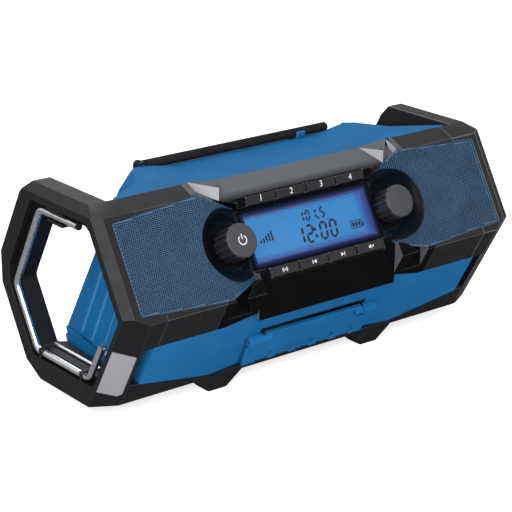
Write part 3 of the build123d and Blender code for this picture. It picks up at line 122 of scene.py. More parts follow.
def front_point(x, up, out):
    """The point this far across, up and out on the leaning front."""
    return RIDGE + RIGHTWARD * x + UPWARD * up + OUTWARD * out


BROW_FRONT = front_point(0, 70.4 * MM, -2.0 * MM)


# ---- Finishes ---------------------------------------------------------------------------------
class Finish:
    """A new material whose nodes are wired up by short calls."""

    def __init__(self, name):
        self.material = bpy.data.materials.new(name)
        self.material.use_nodes = True
        self.nodes = self.material.node_tree.nodes
        self.links = self.material.node_tree.links
        self.shader = self.nodes["Principled BSDF"]

    def node(self, kind, **values):
        """A node with these properties, or input values where the name is an input."""
        made = self.nodes.new(kind)
        for key, value in values.items():
            if key in made.inputs:
                made.inputs[key].default_value = value
            else:
                setattr(made, key, value)
        return made

    def link(self, source, target):
        """Wires an output to an input."""
        self.links.new(source, target)

    def noise(self, size, detail=2.0, roughness=0.5):
        """Noise whose lumps are about this size in metres."""
        place = self.node("ShaderNodeTexCoord")
        made = self.node("ShaderNodeTexNoise", Scale=1 / size, Detail=detail, Roughness=roughness)
        self.link(place.outputs["Object"], made.inputs["Vector"])
        return made.outputs["Fac"]

    def spread(self, value, low, high, start=0.3, end=0.7):
        """The value moved from the span start to end into the span low to high."""
        made = self.node("ShaderNodeMapRange")
        self.link(value, made.inputs["Value"])
        for key, number in (("From Min", start), ("From Max", end), ("To Min", low), ("To Max", high)):
            made.inputs[key].default_value = number
        return made.outputs["Result"]

    def between(self, factor, first, second):
        """A colour between two, each a colour or an output."""
        made = self.node("ShaderNodeMix", data_type="RGBA")
        self.link(factor, made.inputs[0])
        for socket, colour in ((made.inputs[6], first), (made.inputs[7], second)):
            if isinstance(colour, bpy.types.NodeSocket):
                self.link(colour, socket)
            else:
                socket.default_value = (*colour[:3], 1)
        return made.outputs[2]

    def maths(self, operation, first, second=0.0):
        """One step of arithmetic on outputs or numbers."""
        made = self.node("ShaderNodeMath", operation=operation)
        for socket, value in zip(made.inputs, (first, second)):
            if isinstance(value, bpy.types.NodeSocket):
                self.link(value, socket)
            else:
                socket.default_value = value
        return made.outputs[0]

    def crevices(self, colour, reach, darkest):
        """The colour with painted shade, darker in corners and slits that are narrower than the reach."""
        made = self.node("ShaderNodeAmbientOcclusion", samples=8)
        made.inputs["Distance"].default_value = reach
        openness = self.spread(made.outputs["AO"], darkest, 1, 0.15, 0.85)
        shaded = self.node("ShaderNodeMix", data_type="RGBA", blend_type="MULTIPLY")
        shaded.inputs[0].default_value = 1.0
        self.link(colour, shaded.inputs[6])
        self.link(openness, shaded.inputs[7])
        return shaded.outputs[2]

    def mottled(self, patches, colour, darkest, lightest):
        """The colour, scaled between two factors as the patches run."""
        return self.between(self.spread(patches, 0, 1), scaled(colour, darkest), scaled(colour, lightest))

    def bumps(self, height, depth):
        """Bumps of this depth in metres on the surface."""
        made = self.node("ShaderNodeBump", Strength=1.0, Distance=depth)
        self.link(height, made.inputs["Height"])
        self.link(made.outputs["Normal"], self.shader.inputs["Normal"])

    def colour(self, output):
        """Wires the base colour."""
        self.link(output, self.shader.inputs["Base Color"])

    def rough(self, output):
        """Wires the roughness."""
        self.link(output, self.shader.inputs["Roughness"])

    def fix(self, name, value):
        """Sets one of the shader's own values all over the surface."""
        self.shader.inputs[name].default_value = value


def scaled(colour, factor):
    """The colour made lighter or darker."""
    return tuple(min(1.0, channel * factor) for channel in colour[:3])


def moulded_plastic(name, colour, roughness=0.45, grain=0.5 * MM, depth=0.02 * MM, mottle=0.08,
                    shine=0.22):
    """Moulded plastic with a fine spark-eroded grain, faint mottling, handled patches and painted shade
    in its crevices.
    """
    finish = Finish(name)
    finish.fix("Specular IOR Level", shine)
    patches = finish.noise(30 * MM, detail=4.0)
    tone = finish.mottled(patches, colour, 1 - mottle, 1 + mottle)
    # painted shade: the colour darkens in corners, gaps and slits
    finish.colour(finish.crevices(tone, 5 * MM, 0.22))
    smears = finish.noise(9 * MM, detail=5.0, roughness=0.65)
    finish.rough(finish.spread(smears, roughness - 0.06, roughness + 0.06))
    finish.bumps(finish.noise(grain, detail=3.0, roughness=0.6), depth)
    return finish.material


def rubber(name, colour):
    """Matt rubber with a dusty bloom."""
    finish = Finish(name)
    finish.fix("Specular IOR Level", 0.06)
    bloom = finish.noise(12 * MM, detail=6.0, roughness=0.7)
    finish.colour(finish.between(finish.spread(bloom, 0, 1, 0.4, 0.8), colour, scaled(colour, 1.7)))
    finish.rough(finish.spread(bloom, 0.72, 0.88))
    finish.bumps(finish.noise(0.7 * MM, detail=2.0), 0.05 * MM)
    return finish.material


def metal(name, colour, roughness):
    """Bare or plated metal with fine draw marks and faint cloudiness."""
    finish = Finish(name)
    finish.fix("Metallic", 1.0)
    place = finish.node("ShaderNodeTexCoord")
    stretch = finish.node("ShaderNodeMapping")
    stretch.inputs["Scale"].default_value = (4000, 90, 4000)
    finish.link(place.outputs["Object"], stretch.inputs["Vector"])
    lines = finish.node("ShaderNodeTexNoise", Scale=1.0, Detail=2.0)
    finish.link(stretch.outputs["Vector"], lines.inputs["Vector"])
    clouds = finish.noise(6 * MM, detail=4.0)
    finish.colour(finish.mottled(clouds, colour, 0.97, 1.03))
    finish.rough(finish.spread(clouds, max(0.02, roughness - 0.04), roughness + 0.05))
    finish.bumps(lines.outputs["Fac"], 0.004 * MM)
    return finish.material


def printed_mark(name, colour):
    """Pad-printed ink, a little uneven."""
    finish = Finish(name)
    wear = finish.noise(1.2 * MM, detail=4.0)
    finish.colour(finish.between(finish.spread(wear, 0, 1, 0.2, 0.6), scaled(colour, 0.8), colour))
    finish.fix("Roughness", 0.5)
    finish.fix("Specular IOR Level", 0.05)
    return finish.material


def dress(material, *names, edge=None):
    """Gives CAD nodes this finish, and a second one, a painted edge highlight, for soften to put on their
    rounded edges.
    """
    for name in names:
        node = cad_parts[name]
        node.data.materials.clear()
        node.data.materials.append(material)
        if edge:
            node.data.materials.append(edge)


def soften(width, *names, segments=2):
    """Rounds the sharp edges of CAD nodes by modifiers, with the node's last finish on them, which is the
    painted edge highlight where dress gave one.
    """
    for name in names:
        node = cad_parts[name]
        weld = node.modifiers.new("weld", "WELD")
        weld.merge_threshold = 0.002 * MM
        flat = node.modifiers.new("flat", "DECIMATE")
        flat.decimate_type = "DISSOLVE"
        flat.angle_limit = radians(0.4)
        round_edges = node.modifiers.new("edges", "BEVEL")
        round_edges.width = width
        round_edges.segments = segments
        round_edges.limit_method = "ANGLE"
        round_edges.angle_limit = SHARP
        round_edges.harden_normals = False
        round_edges.material = len(node.data.materials) - 1
        shade = node.modifiers.new("shade", "WEIGHTED_NORMAL")
        shade.keep_sharp = False
        shade.weight = 90


# ---- Mesh building ----------------------------------------------------------------------------
def piece_from(name, build, material, body, replaces=()):
    """A finished piece from a bmesh, on its body, with its finish and slot."""
    mesh = bpy.data.meshes.new(name)
    bmesh.ops.recalc_face_normals(build, faces=build.faces)
    build.to_mesh(mesh)
    build.free()
    mesh.materials.append(material)
    piece = bpy.data.objects.new(name, mesh)
    bpy.context.scene.collection.objects.link(piece)
    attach(piece, body)
    if replaces:
        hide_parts(*replaces)
    return piece


def smooth_over(piece, angle):
    """Smooth shading that keeps edges sharper than the angle."""
    mesh = piece.data
    mesh.shade_smooth()
    mesh.set_sharp_from_angle(angle=angle)


def bridge(build, lower, upper):
    """Quads between two loops of the same length."""
    for index in range(len(lower)):
        after = (index + 1) % len(lower)
        build.faces.new((lower[index], lower[after], upper[after], upper[index]))


def turned_form(build, matrix, profile, count, radius_at=None):
    """A closed form turned about the matrix's Z. The profile lists (radius, out) from back to front."""
    loops = []
    for radius, out in profile:
        loop = []
        for index in range(count):
            angle = tau * index / count
            reach = radius_at(radius, angle) if radius_at else radius
            loop.append(build.verts.new(matrix @ Vector((reach * cos(angle), reach * sin(angle), out))))
        loops.append(loop)
    for lower, upper in zip(loops, loops[1:]):
        bridge(build, lower, upper)
    build.faces.new(list(reversed(loops[0])))
    build.faces.new(loops[-1])


def local_frame(origin, right, up):
    """A matrix whose X is right, Y is up and Z is outward."""
    outward = right.cross(up).normalized()
    matrix = Matrix((right.normalized(), up.normalized(), outward)).transposed().to_4x4()
    matrix.translation = origin
    return matrix


def add_plate(build, matrix, points, low, high):
    """A flat plate with this outline between two heights over the matrix's plane."""
    bottom = [build.verts.new(matrix @ Vector((x, y, low))) for x, y in points]
    top = [build.verts.new(matrix @ Vector((x, y, high))) for x, y in points]
    bridge(build, bottom, top)
    build.faces.new(list(reversed(bottom)))
    build.faces.new(top)


def arc_points(radius, start, end, count):
    """Points along an arc, angles in degrees."""
    step = (end - start) / (count - 1)
    return [
        (radius * cos(radians(start + step * index)), radius * sin(radians(start + step * index)))
        for index in range(count)
    ]


def arc_band(radius, width, start, end, count=24):
    """The outline of a stroke that follows an arc."""
    outer = arc_points(radius + width / 2, start, end, count)
    inner = arc_points(radius - width / 2, start, end, count)
    return outer + inner[::-1]


def bar(x0, y0, x1, y1, width):
    """The outline of a straight stroke."""
    along = Vector((x1 - x0, y1 - y0)).normalized() * width / 2
    side = Vector((-along.y, along.x))
    return [
        (x0 + side.x, y0 + side.y), (x0 - side.x, y0 - side.y),
        (x1 - side.x, y1 - side.y), (x1 + side.x, y1 + side.y),
    ]


# ---- Settings ---------------------------------------------------------------------------------
def length_setting(name, description, default):
    """A size that a user may change."""
    return FloatProperty(name=name, description=description, default=default, unit="LENGTH", precision=5)


def colour_setting(name, description, default):
    """A colour that a user may change."""
    return FloatVectorProperty(
        name=name, description=description, default=default, subtype="COLOR", size=3, min=0, max=1
    )


class RadioColours(bpy.types.PropertyGroup):
    """Colours of the mouldings."""

    shell: colour_setting("Shell", "Blue of the housing and door", (0.0105, 0.138, 0.345))
    # painted highlight: this paler blue stands for light caught by the housing's rounded edges and the
    # wall ribs
    shell_edge: colour_setting("Shell edge", "Paler blue where its edges are rubbed", (0.045, 0.22, 0.46))
    black: colour_setting("Black", "Black of the frames and bezels", (0.0085, 0.0088, 0.0102))
    # painted highlight: this grey stands for light caught by the rounded edges of the frames, bezels and
    # console
    black_edge: colour_setting("Frame edge", "Grey of the frames' rubbed edges", (0.085, 0.088, 0.096))
    console: colour_setting("Console", "Near-black of the console", (0.0028, 0.0032, 0.0038))
    # painted sheen: this grey stands for light falling on the console's up-facing ledge, which is
    # near-black console plastic
    brow: colour_setting("Brow", "Grey of the console's brow", (0.120, 0.126, 0.136))
    # painted sheen: this grey stands for light caught by the sideways-turned facets below the knobs,
    # which are near-black console plastic
    kite: colour_setting("Kite", "Grey of the facets below the knobs", (0.085, 0.087, 0.093))
    # painted reflection: this pale grey stands for light mirrored at a glancing angle by the prow's dark
    # upright cheeks
    cheek: colour_setting("Cheek", "Pale grey of the prow's cheeks", (0.38, 0.385, 0.41))
    button: colour_setting("Button", "Dark grey of the buttons", (0.016, 0.0165, 0.0185))
    # painted highlight: this grey stands for light caught by the buttons' rounded edges
    button_edge: colour_setting("Button edge", "Grey of the buttons' rubbed edges", (0.130, 0.133, 0.142))
    cap: colour_setting("Cap", "Grey of the knob caps", (0.055, 0.056, 0.062))
    grille: colour_setting("Grille", "Paint of the perforated sheet", (0.058, 0.118, 0.205))
    cover: colour_setting("Hook cover", "Light grey of the hook's cover plate", (0.285, 0.29, 0.315))
    ink: colour_setting("Ink", "White of the printed marks", (0.80, 0.80, 0.82))


class GrilleSizes(bpy.types.PropertyGroup):
    """Sizes of the perforated sheet."""

    pitch: length_setting("Hole pitch", "Distance between neighbouring holes", 1.62 * MM)
    hole: length_setting("Hole radius", "Radius of each hole", 0.69 * MM)
    margin: length_setting("Margin", "Plain rim round the perforation", 0.35 * MM)
    sheet: length_setting("Sheet", "Thickness of the sheet", 1.1 * MM)


class KnobSizes(bpy.types.PropertyGroup):
    """Sizes of the two knobs."""

    radius: length_setting("Radius", "Radius over the ribs", 12.8 * MM)
    base: length_setting("Base", "How far back the knob reaches", -13.0 * MM)
    front: length_setting("Front", "How far out the cap stands", 6.2 * MM)
    ribs: IntProperty(name="Ribs", description="Grip ribs round the barrel", default=16, min=6, max=40)


class DisplaySizes(bpy.types.PropertyGroup):
    """Sizes and colours of the display."""

    digit: length_setting("Digit", "Height of the large digits", 14.0 * MM)
    small_digit: length_setting("Small digit", "Height of the small digits", 8.8 * MM)
    lit: colour_setting("Lit", "Backlight colour", (0.016, 0.215, 0.530))
    border: colour_setting("Border", "Colour of the lit border", (0.016, 0.030, 0.260))
    ink: colour_setting("Segments", "Colour of the segments", (0.002, 0.006, 0.020))


class StageSettings(bpy.types.PropertyGroup):
    """Camera and lamps."""

    azimuth: FloatProperty(name="Azimuth", description="Camera direction", default=radians(-38.1),
                           subtype="ANGLE")
    elevation: FloatProperty(name="Elevation", description="Camera height angle",
                             default=radians(19.4), subtype="ANGLE")
    distance: length_setting("Distance", "Camera distance", 1.2374)
    lens: FloatProperty(name="Lens", description="Focal length in millimetres", default=125.94)
    key: FloatProperty(name="Key", description="Power of the main lamp", default=19.0, unit="POWER")
    fill: FloatProperty(name="Fill", description="Power of the fill lamp", default=4.0, unit="POWER")
    rim: FloatProperty(name="Rim", description="Power of the rear lamp", default=8.0, unit="POWER")
    sky: FloatProperty(name="Sky", description="Strength of the surrounding light", default=0.31)


def settings(name):
    """One of the property groups on the scene."""
    return getattr(bpy.context.scene, name)


# ---- Shells -----------------------------------------------------------------------------------
class RADIO_OT_shells(bpy.types.Operator):
    """Dress the blue housing and the black frames, bezels, tray and rear panel"""

    bl_idname = "radio.shells"
    bl_label = "Shells"

    def execute(self, context):
        colours = settings("radio_colours")
        blue = moulded_plastic("shell_blue", colours.shell, roughness=0.44, shine=0.03)
        # painted highlight: a paler blue on the rounded edges of the housing, door, ears and clip
        blue_edge_highlight = moulded_plastic("shell_edge", colours.shell_edge, roughness=0.38, shine=0.1)
        black = moulded_plastic("frame_black", colours.black, roughness=0.5, depth=0.03 * MM)
        # painted highlight: a grey on the rounded edges of the frames, bezels, tray and rear panel
        black_edge = moulded_plastic("frame_edge_highlight", colours.black_edge, roughness=0.42)
        dress(blue, "main_housing", "service_door", "hinge_ears", "aerial_clip", edge=blue_edge_highlight)
        dress(
            black, "left_end_frame", "right_end_frame", "left_bezel", "right_bezel", "base_tray",
            "rear_housing", edge=black_edge,
        )
        dress(black, "battery_rails", "compartment_tub")
        build = bmesh.new()
        for side in (1, -1):
            for index in range(RIB_COUNT):
                add_wall_rib(build, side, index)
        # painted highlight: the ribs are made in the paler edge blue for the light their flanks catch
        piece_from("end_wall_ribs", build, blue_edge_highlight, "radio")
        soften(0.5 * MM, "main_housing", "hinge_ears", "aerial_clip")
        soften(0.35 * MM, "service_door")
        soften(0.8 * MM, "left_end_frame", "right_end_frame")
        soften(0.45 * MM, "left_bezel", "right_bezel", "base_tray", "rear_housing")
        return {"FINISHED"}


def spilled_light(finish, position, across):
    """Backlight that spills on the ledge and walls round the window and fades away from it."""
    from_ridge = finish.node("ShaderNodeVectorMath", operation="SUBTRACT")
    finish.link(position, from_ridge.inputs[0])
    from_ridge.inputs[1].default_value = RIDGE
    reaches = []
    for direction in (OUTWARD, UPWARD):
        along = finish.node("ShaderNodeVectorMath", operation="DOT_PRODUCT")
        finish.link(from_ridge.outputs["Vector"], along.inputs[0])
        along.inputs[1].default_value = direction
        reaches.append(along.outputs["Value"])
    out, up = reaches
    fade = finish.spread(out, 1, 0, RECESS_OUT, RECESS_OUT + SPILL_DEPTH)
    beside = finish.spread(finish.maths("ABSOLUTE", across), 1, 0, WINDOW_HALF, WINDOW_HALF + SPILL)
    from_middle = finish.maths("ABSOLUTE", finish.maths("SUBTRACT", up, (WINDOW_LOW + WINDOW_HIGH) / 2))
    window_reach = (WINDOW_HIGH - WINDOW_LOW) / 2
    level = finish.spread(from_middle, 1, 0, window_reach, window_reach + SPILL)
    glow = finish.maths("MULTIPLY", fade, finish.maths("MULTIPLY", beside, level))
    finish.fix("Emission Color", SPILL_COLOUR)
    finish.link(finish.maths("MULTIPLY", glow, SPILL_STRENGTH), finish.shader.inputs["Emission Strength"])


def on_wall(side, y, z, proud):
    """The point of a slanted end wall at this depth and height, this proud of it."""
    a, b, c = END_WALL
    normal = (b - a).cross(c - a).normalized()
    normal = normal if normal.x > 0 else -normal
    x = a.x - (normal.y * (y - a.y) + normal.z * (z - a.z)) / normal.x
    point = Vector((x, y, z)) + normal * proud
    return Vector((side * min(point.x, WALL_TRIM), point.y, point.z))


def add_wall_rib(build, side, index):
    """One slender rib along a step of a slanted end wall."""
    foot_y = RIB_FIRST - index * RIB_PITCH
    lower, upper = RIB_STEP * index, RIB_STEP * (index + 1)
    section = [
        (0.8 * MM, lower - RIB_SUNK), (0.5 * MM, upper + RIB_PROUD),
        (-0.9 * MM, upper + RIB_PROUD), (-1.6 * MM, upper - RIB_SUNK),
    ]
    ends = []
    for y, z in ((foot_y, RIB_FOOT), (foot_y - RIB_LEAN * (RIB_TOP - RIB_FOOT), RIB_TOP)):
        ends.append([build.verts.new(on_wall(side, y + across, z, proud)) for across, proud in section])
    bridge(build, *ends)
    build.faces.new(ends[0])
    build.faces.new(ends[1])


# Reach of the painted reflections down from the top, of the painted sheen up from the ridge, and of the
# painted shade behind the ledge's front edge.
CHEEK_HEIGHT = 16.0 * MM
KITE_HEIGHT = 11.0 * MM
BROW_FADE = 7.0 * MM


def console_finish(colours):
    """Dark grained plastic with painted light: pale painted reflections on the upright cheeks, a grey
    painted sheen on the up-facing ledge, shaded towards its front edge, and a grey painted sheen on the
    kites below the knobs.
    """
    finish = Finish("console_grey")
    place = finish.node("ShaderNodeNewGeometry")
    position = finish.node("ShaderNodeSeparateXYZ")
    direction = finish.node("ShaderNodeSeparateXYZ")
    finish.link(place.outputs["Position"], position.inputs[0])
    finish.link(place.outputs["True Normal"], direction.inputs[0])
    # painted reflection: upright, sideways-facing faces near the top get the pale grey
    high = finish.maths("GREATER_THAN", position.outputs["Z"], cad_high.z - CHEEK_HEIGHT)
    level = finish.maths("ABSOLUTE", direction.outputs["Z"])
    upright = finish.maths("LESS_THAN", level, 0.2)
    wide = finish.maths("GREATER_THAN", finish.maths("ABSOLUTE", direction.outputs["X"]), 0.5)
    cheek = finish.maths("MULTIPLY", finish.maths("MULTIPLY", high, upright), wide)
    # painted sheen: up-facing faces near the top get the grey for the light that falls on them
    brow = finish.maths("MULTIPLY", high, finish.maths("GREATER_THAN", direction.outputs["Z"], 0.8))
    # painted sheen: low faces turned sideways get the grey for the light they catch
    low = finish.maths("LESS_THAN", position.outputs["Z"], RIDGE.z + KITE_HEIGHT)
    turned = finish.maths("GREATER_THAN", finish.maths("ABSOLUTE", direction.outputs["X"]), 0.35)
    kite = finish.maths("MULTIPLY", low, turned)
    patches = finish.noise(30 * MM, detail=4.0)
    base = finish.mottled(patches, colours.console, 0.92, 1.1)
    # painted shade: the sheen fades out towards the ledge's rounded front edge
    front_edge_shade = finish.spread(position.outputs["Y"], 0.12, 1, BROW_FRONT.y, BROW_FRONT.y + BROW_FADE)
    base = finish.between(finish.maths("MULTIPLY", brow, front_edge_shade), base, colours.brow)
    base = finish.between(kite, base, colours.kite)
    finish.colour(finish.between(cheek, base, colours.cheek))
    spilled_light(finish, place.outputs["Position"], position.outputs["X"])
    finish.fix("Specular IOR Level", 0.03)
    finish.rough(finish.spread(finish.noise(9 * MM, detail=5.0, roughness=0.65), 0.42, 0.55))
    finish.bumps(finish.noise(0.45 * MM, detail=3.0, roughness=0.6), 0.035 * MM)
    return finish.material


class RADIO_OT_console(bpy.types.Operator):
    """Dress the console with painted reflections on its cheeks and painted sheen on its ledge and kites
    """

    bl_idname = "radio.console"
    bl_label = "Console"

    def execute(self, context):
        colours = settings("radio_colours")
        # painted highlight: a grey on the console's rounded edges
        edge = moulded_plastic("console_edge_highlight", colours.black_edge, roughness=0.42)
        dress(console_finish(colours), "centre_console", edge=edge)
        soften(0.35 * MM, "centre_console")
        return {"FINISHED"}


# ---- Grilles ----------------------------------------------------------------------------------
# The right sheet's border, as places across and up the front.
GRILLE_OUTLINE = [
    (167.0 * MM, 7.0 * MM), (167.0 * MM, 72.7 * MM), (92.5 * MM, 78.5 * MM),
    (62.5 * MM, 65.0 * MM), (62.5 * MM, 12.0 * MM), (92.0 * MM, 1.5 * MM),
]
GRILLE_MIDDLE = Vector((115.0 * MM, 40.0 * MM))
GRILLE_DROP = 1.0 * MM
LOBE_START = 92.5 * MM
LOBE_SLOPE = 9.0 / 30.0
DISH_OUTER = 28.5 * MM
DISH_INNER = 17.0 * MM
DISH_DROP = 12.0 * MM
HOLES_FROM = 60.0 * MM
HOLES_TO = 170.0 * MM
HOLES_UP_TO = 80.0 * MM
HOLE_SIDES = 6


def grille_out(x, up):
    """How far out the sheet's face is at this place: flat field, sloping lobe or dish."""
    lobe = -max(0.0, LOBE_START - x) * LOBE_SLOPE
    reach = hypot(x - KNOB_X, up - KNOB_UP)
    dish = -max(0.0, DISH_OUTER - reach) * DISH_DROP / (DISH_OUTER - DISH_INNER)
    return -GRILLE_DROP + min(lobe, dish)


def room_inside(x, up):
    """Distance from this place to the nearest border of the sheet, negative outside."""
    nearest = hypot(x - KNOB_X, up - KNOB_UP) - DISH_INNER
    for first, second in zip(GRILLE_OUTLINE, GRILLE_OUTLINE[1:] + GRILLE_OUTLINE[:1]):
        a, b = Vector(first), Vector(second)
        side = Vector((b.y - a.y, a.x - b.x)).normalized()
        if side.dot(GRILLE_MIDDLE - a) < 0:
            side = -side
        nearest = min(nearest, side.dot(Vector((x, up)) - a))
    return nearest


def hole_places(sizes):
    """Centres of the staggered holes that fit inside the border."""
    row_step = sizes.pitch * sin(radians(60))
    places = []
    up, row = 0.0, 0
    while up < HOLES_UP_TO:
        x = HOLES_FROM + (sizes.pitch / 2 if row % 2 else 0.0)
        while x < HOLES_TO:
            if room_inside(x, up) > sizes.hole + sizes.margin:
                places.append((x, up))
            x += sizes.pitch
        up += row_step
        row += 1
    return places


def split_edges(points, longest):
    """The closed outline with points added so that no side is longer."""
    fine = []
    for first, second in zip(points, points[1:] + points[:1]):
        a, b = Vector(first), Vector(second)
        steps = max(1, int((b - a).length / longest) + 1)
        fine += [tuple(a.lerp(b, index / steps)) for index in range(steps)]
    return fine


def ring_outline(x, up, radius, count, turn):
    """The corners of an even-sided opening, turned by this angle."""
    return [
        (x + radius * cos(tau * i / count + turn), up + radius * sin(tau * i / count + turn))
        for i in range(count)
    ]


def perforated_sheet(side, sizes):
    """A mesh of the whole sheet with every hole cut through, mirrored for the left."""
    border = split_edges(GRILLE_OUTLINE, 3 * MM)
    points = [Vector(point) for point in border]
    rings = [list(range(len(border)))]
    cuts = [ring_outline(KNOB_X, KNOB_UP, DISH_INNER, 60, 0)]
    for x, up in hole_places(sizes):
        cuts.append(ring_outline(x, up, sizes.hole, HOLE_SIDES, pi / HOLE_SIDES))
    for cut in cuts:
        rings.append(list(range(len(points), len(points) + len(cut))))
        points += [Vector(point) for point in cut]
    verts, _, faces, _, _, sources = delaunay_2d_cdt(points, [], rings, 1, 1e-7, True)
    build = bmesh.new()
    made = {}
    for face, source in zip(faces, sources):
        if source != [0]:
            continue
        corners = []
        for index in face:
            if index not in made:
                x, up = verts[index]
                made[index] = build.verts.new(front_point(side * x, up, grille_out(x, up)))
            corners.append(made[index])
        build.faces.new(corners)
    return build


def grille_finish(name, colours, side):
    """Painted steel sheet, with painted shade darkening the dish round the knob and the holes and seams.
    """
    finish = Finish(name)
    finish.fix("Specular IOR Level", 0.08)
    patches = finish.noise(14 * MM, detail=4.0)
    sheet = finish.mottled(patches, colours.grille, 0.88, 1.14)
    place = finish.node("ShaderNodeNewGeometry")
    reach = finish.node("ShaderNodeVectorMath", operation="DISTANCE")
    finish.link(place.outputs["Position"], reach.inputs[0])
    reach.inputs[1].default_value = front_point(side * KNOB_X, KNOB_UP, -GRILLE_DROP)
    # painted shade: the dish round the knob is darkened to about a tenth of the sheet's colour
    rim = finish.spread(reach.outputs["Value"], 0, 1, DISH_OUTER - 1.2 * MM, DISH_OUTER)
    dish_shade = finish.between(rim, scaled(colours.grille, 0.09), sheet)
    # painted shade in the holes and along the seams
    finish.colour(finish.crevices(dish_shade, 2.5 * MM, 0.12))
    finish.rough(finish.spread(patches, 0.36, 0.5))
    finish.bumps(finish.noise(0.5 * MM), 0.03 * MM)
    return finish.material


class RADIO_OT_grilles(bpy.types.Operator):
    """Build both dished speaker grilles as sheet with real holes"""

    bl_idname = "radio.grilles"
    bl_label = "Grilles"

    def execute(self, context):
        sizes = settings("grille_sizes")
        for name, side in (("left", -1), ("right", 1)):
            material = grille_finish(f"{name}_grille_paint", settings("radio_colours"), side)
            build = perforated_sheet(side, sizes)
            sheet = piece_from(
                f"{name}_perforated_sheet", build, material, "radio", [f"{name}_grille"]
            )
            facing = sum(polygon.normal.dot(OUTWARD) for polygon in sheet.data.polygons)
            if facing < 0:
                sheet.data.flip_normals()
            thick = sheet.modifiers.new("sheet", "SOLIDIFY")
            thick.thickness = sizes.sheet
            thick.offset = -1
        return {"FINISHED"}


# ---- Speakers and boards ----------------------------------------------------------------------
def circuit_board(name):
    """Green solder mask with paler pads."""
    finish = Finish(name)
    place = finish.node("ShaderNodeTexCoord")
    cells = finish.node("ShaderNodeTexVoronoi", Scale=220.0, distance="CHEBYCHEV")
    finish.link(place.outputs["Object"], cells.inputs["Vector"])
    pads = finish.spread(cells.outputs["Distance"], 1, 0, 0.08, 0.12)
    mask, gilt = (0.012, 0.10, 0.035), (0.55, 0.42, 0.16)
    finish.colour(finish.between(pads, mask, gilt))
    finish.fix("Roughness", 0.32)
    finish.bumps(pads, 0.03 * MM)
    return finish.material


def speaker_paper(name):
    """Pressed paper cone, soft black with fibres."""
    finish = Finish(name)
    fibres = finish.noise(1.5 * MM, detail=8.0, roughness=0.8)
    dark, pale = (0.010, 0.010, 0.011), (0.030, 0.030, 0.032)
    finish.colour(finish.between(finish.spread(fibres, 0, 1), dark, pale))
    finish.fix("Roughness", 0.85)
    finish.bumps(fibres, 0.08 * MM)
    return finish.material


class RADIO_OT_speakers(bpy.types.Operator):
    """Dress the speakers, encoders and circuit boards"""

    bl_idname = "radio.speakers"
    bl_label = "Speakers and boards"

    def execute(self, context):
        steel = metal("zinc_steel", (0.55, 0.55, 0.57), 0.36)
        paper = speaker_paper("speaker_paper")
        magnet = moulded_plastic("ferrite", (0.03, 0.03, 0.032), roughness=0.62)
        board = circuit_board("solder_mask")
        for side in ("left", "right"):
            dress(steel, f"{side}_speaker_basket", f"{side}_encoder", f"{side}_encoder_stem")
            dress(paper, f"{side}_speaker_cone")
            dress(magnet, f"{side}_speaker_magnet")
        dress(board, "control_board", "main_board")
        return {"FINISHED"}


# ---- Display ----------------------------------------------------------------------------------
DIGIT_SEGMENTS = {
    "0": "abcdef", "1": "bc", "2": "abged", "3": "abgcd", "4": "fgbc",
    "5": "afgcd", "6": "afgedc", "7": "abc", "8": "abcdefg", "9": "gfabcd",
}


# Shares of a digit's height, and of its step for the points between digits.
DIGIT_WIDTH = 0.52
DIGIT_STEP = 0.66
POINT_STEP = 0.36
COLON_DOTS = (0.3, 0.66)
DIGIT_SLANT = 0.10
# How far in from the window the blue border starts to deepen, and how far in it is deepest.
RIGHT_RIM = (5.5 * MM, 1.5 * MM)
SIDE_RIM = (2.0 * MM, 0.5 * MM)
UPPER_RIM = (3.6 * MM, 1.0 * MM)
LOWER_RIM = (2.0 * MM, 0.6 * MM)


def segment_outlines(height, stroke):
    """The seven bevelled strokes of a digit that is this high."""
    width = height * DIGIT_WIDTH
    half = height / 2
    gap = stroke * 0.12

    def level(y):
        a, b = gap + stroke / 2, width - gap - stroke / 2
        return [
            (a, y), (a + stroke / 2, y + stroke / 2), (b - stroke / 2, y + stroke / 2),
            (b, y), (b - stroke / 2, y - stroke / 2), (a + stroke / 2, y - stroke / 2),
        ]

    def upright(x, y0, y1):
        a, b = y0 + gap, y1 - gap
        return [
            (x, a), (x - stroke / 2, a + stroke / 2), (x - stroke / 2, b - stroke / 2),
            (x, b), (x + stroke / 2, b - stroke / 2), (x + stroke / 2, a + stroke / 2),
        ]

    left, right = stroke / 2, width - stroke / 2
    low, high = stroke / 2, height - stroke / 2
    return {
        "a": level(high), "g": level(half), "d": level(low),
        "f": upright(left, half, high), "b": upright(right, half, high),
        "e": upright(left, low, half), "c": upright(right, low, half),
    }


def slanted(points, x, y, slant=DIGIT_SLANT):
    """The outline moved to its place and leaned like display digits."""
    return [(x + px + py * slant, y + py) for px, py in points]


def digit_row(build, matrix, text, x, y, height, stroke):
    """A row of seven-segment characters."""
    outlines = segment_outlines(height, stroke)
    step = height * DIGIT_STEP
    for character in text:
        if character in ":.":
            dots = [height * share for share in COLON_DOTS] if character == ":" else [stroke / 2]
            for dot_y in dots:
                half = stroke * 0.6
                square = [(-half, -half), (half, -half), (half, half), (-half, half)]
                add_plate(build, matrix, slanted(square, x, y + dot_y, 0), 0, DECAL)
            x += step * POINT_STEP
            continue
        for name in DIGIT_SEGMENTS[character]:
            add_plate(build, matrix, slanted(outlines[name], x, y), 0, DECAL)
        x += step


def add_signal_bars(build, matrix):
    """Five bars that grow taller to the right."""
    for step in range(5):
        x = (-46 + step * 2.6) * MM
        add_plate(build, matrix, bar(x, 14 * MM, x, (16.0 + step * 1.3) * MM, 1.5 * MM), 0, DECAL)


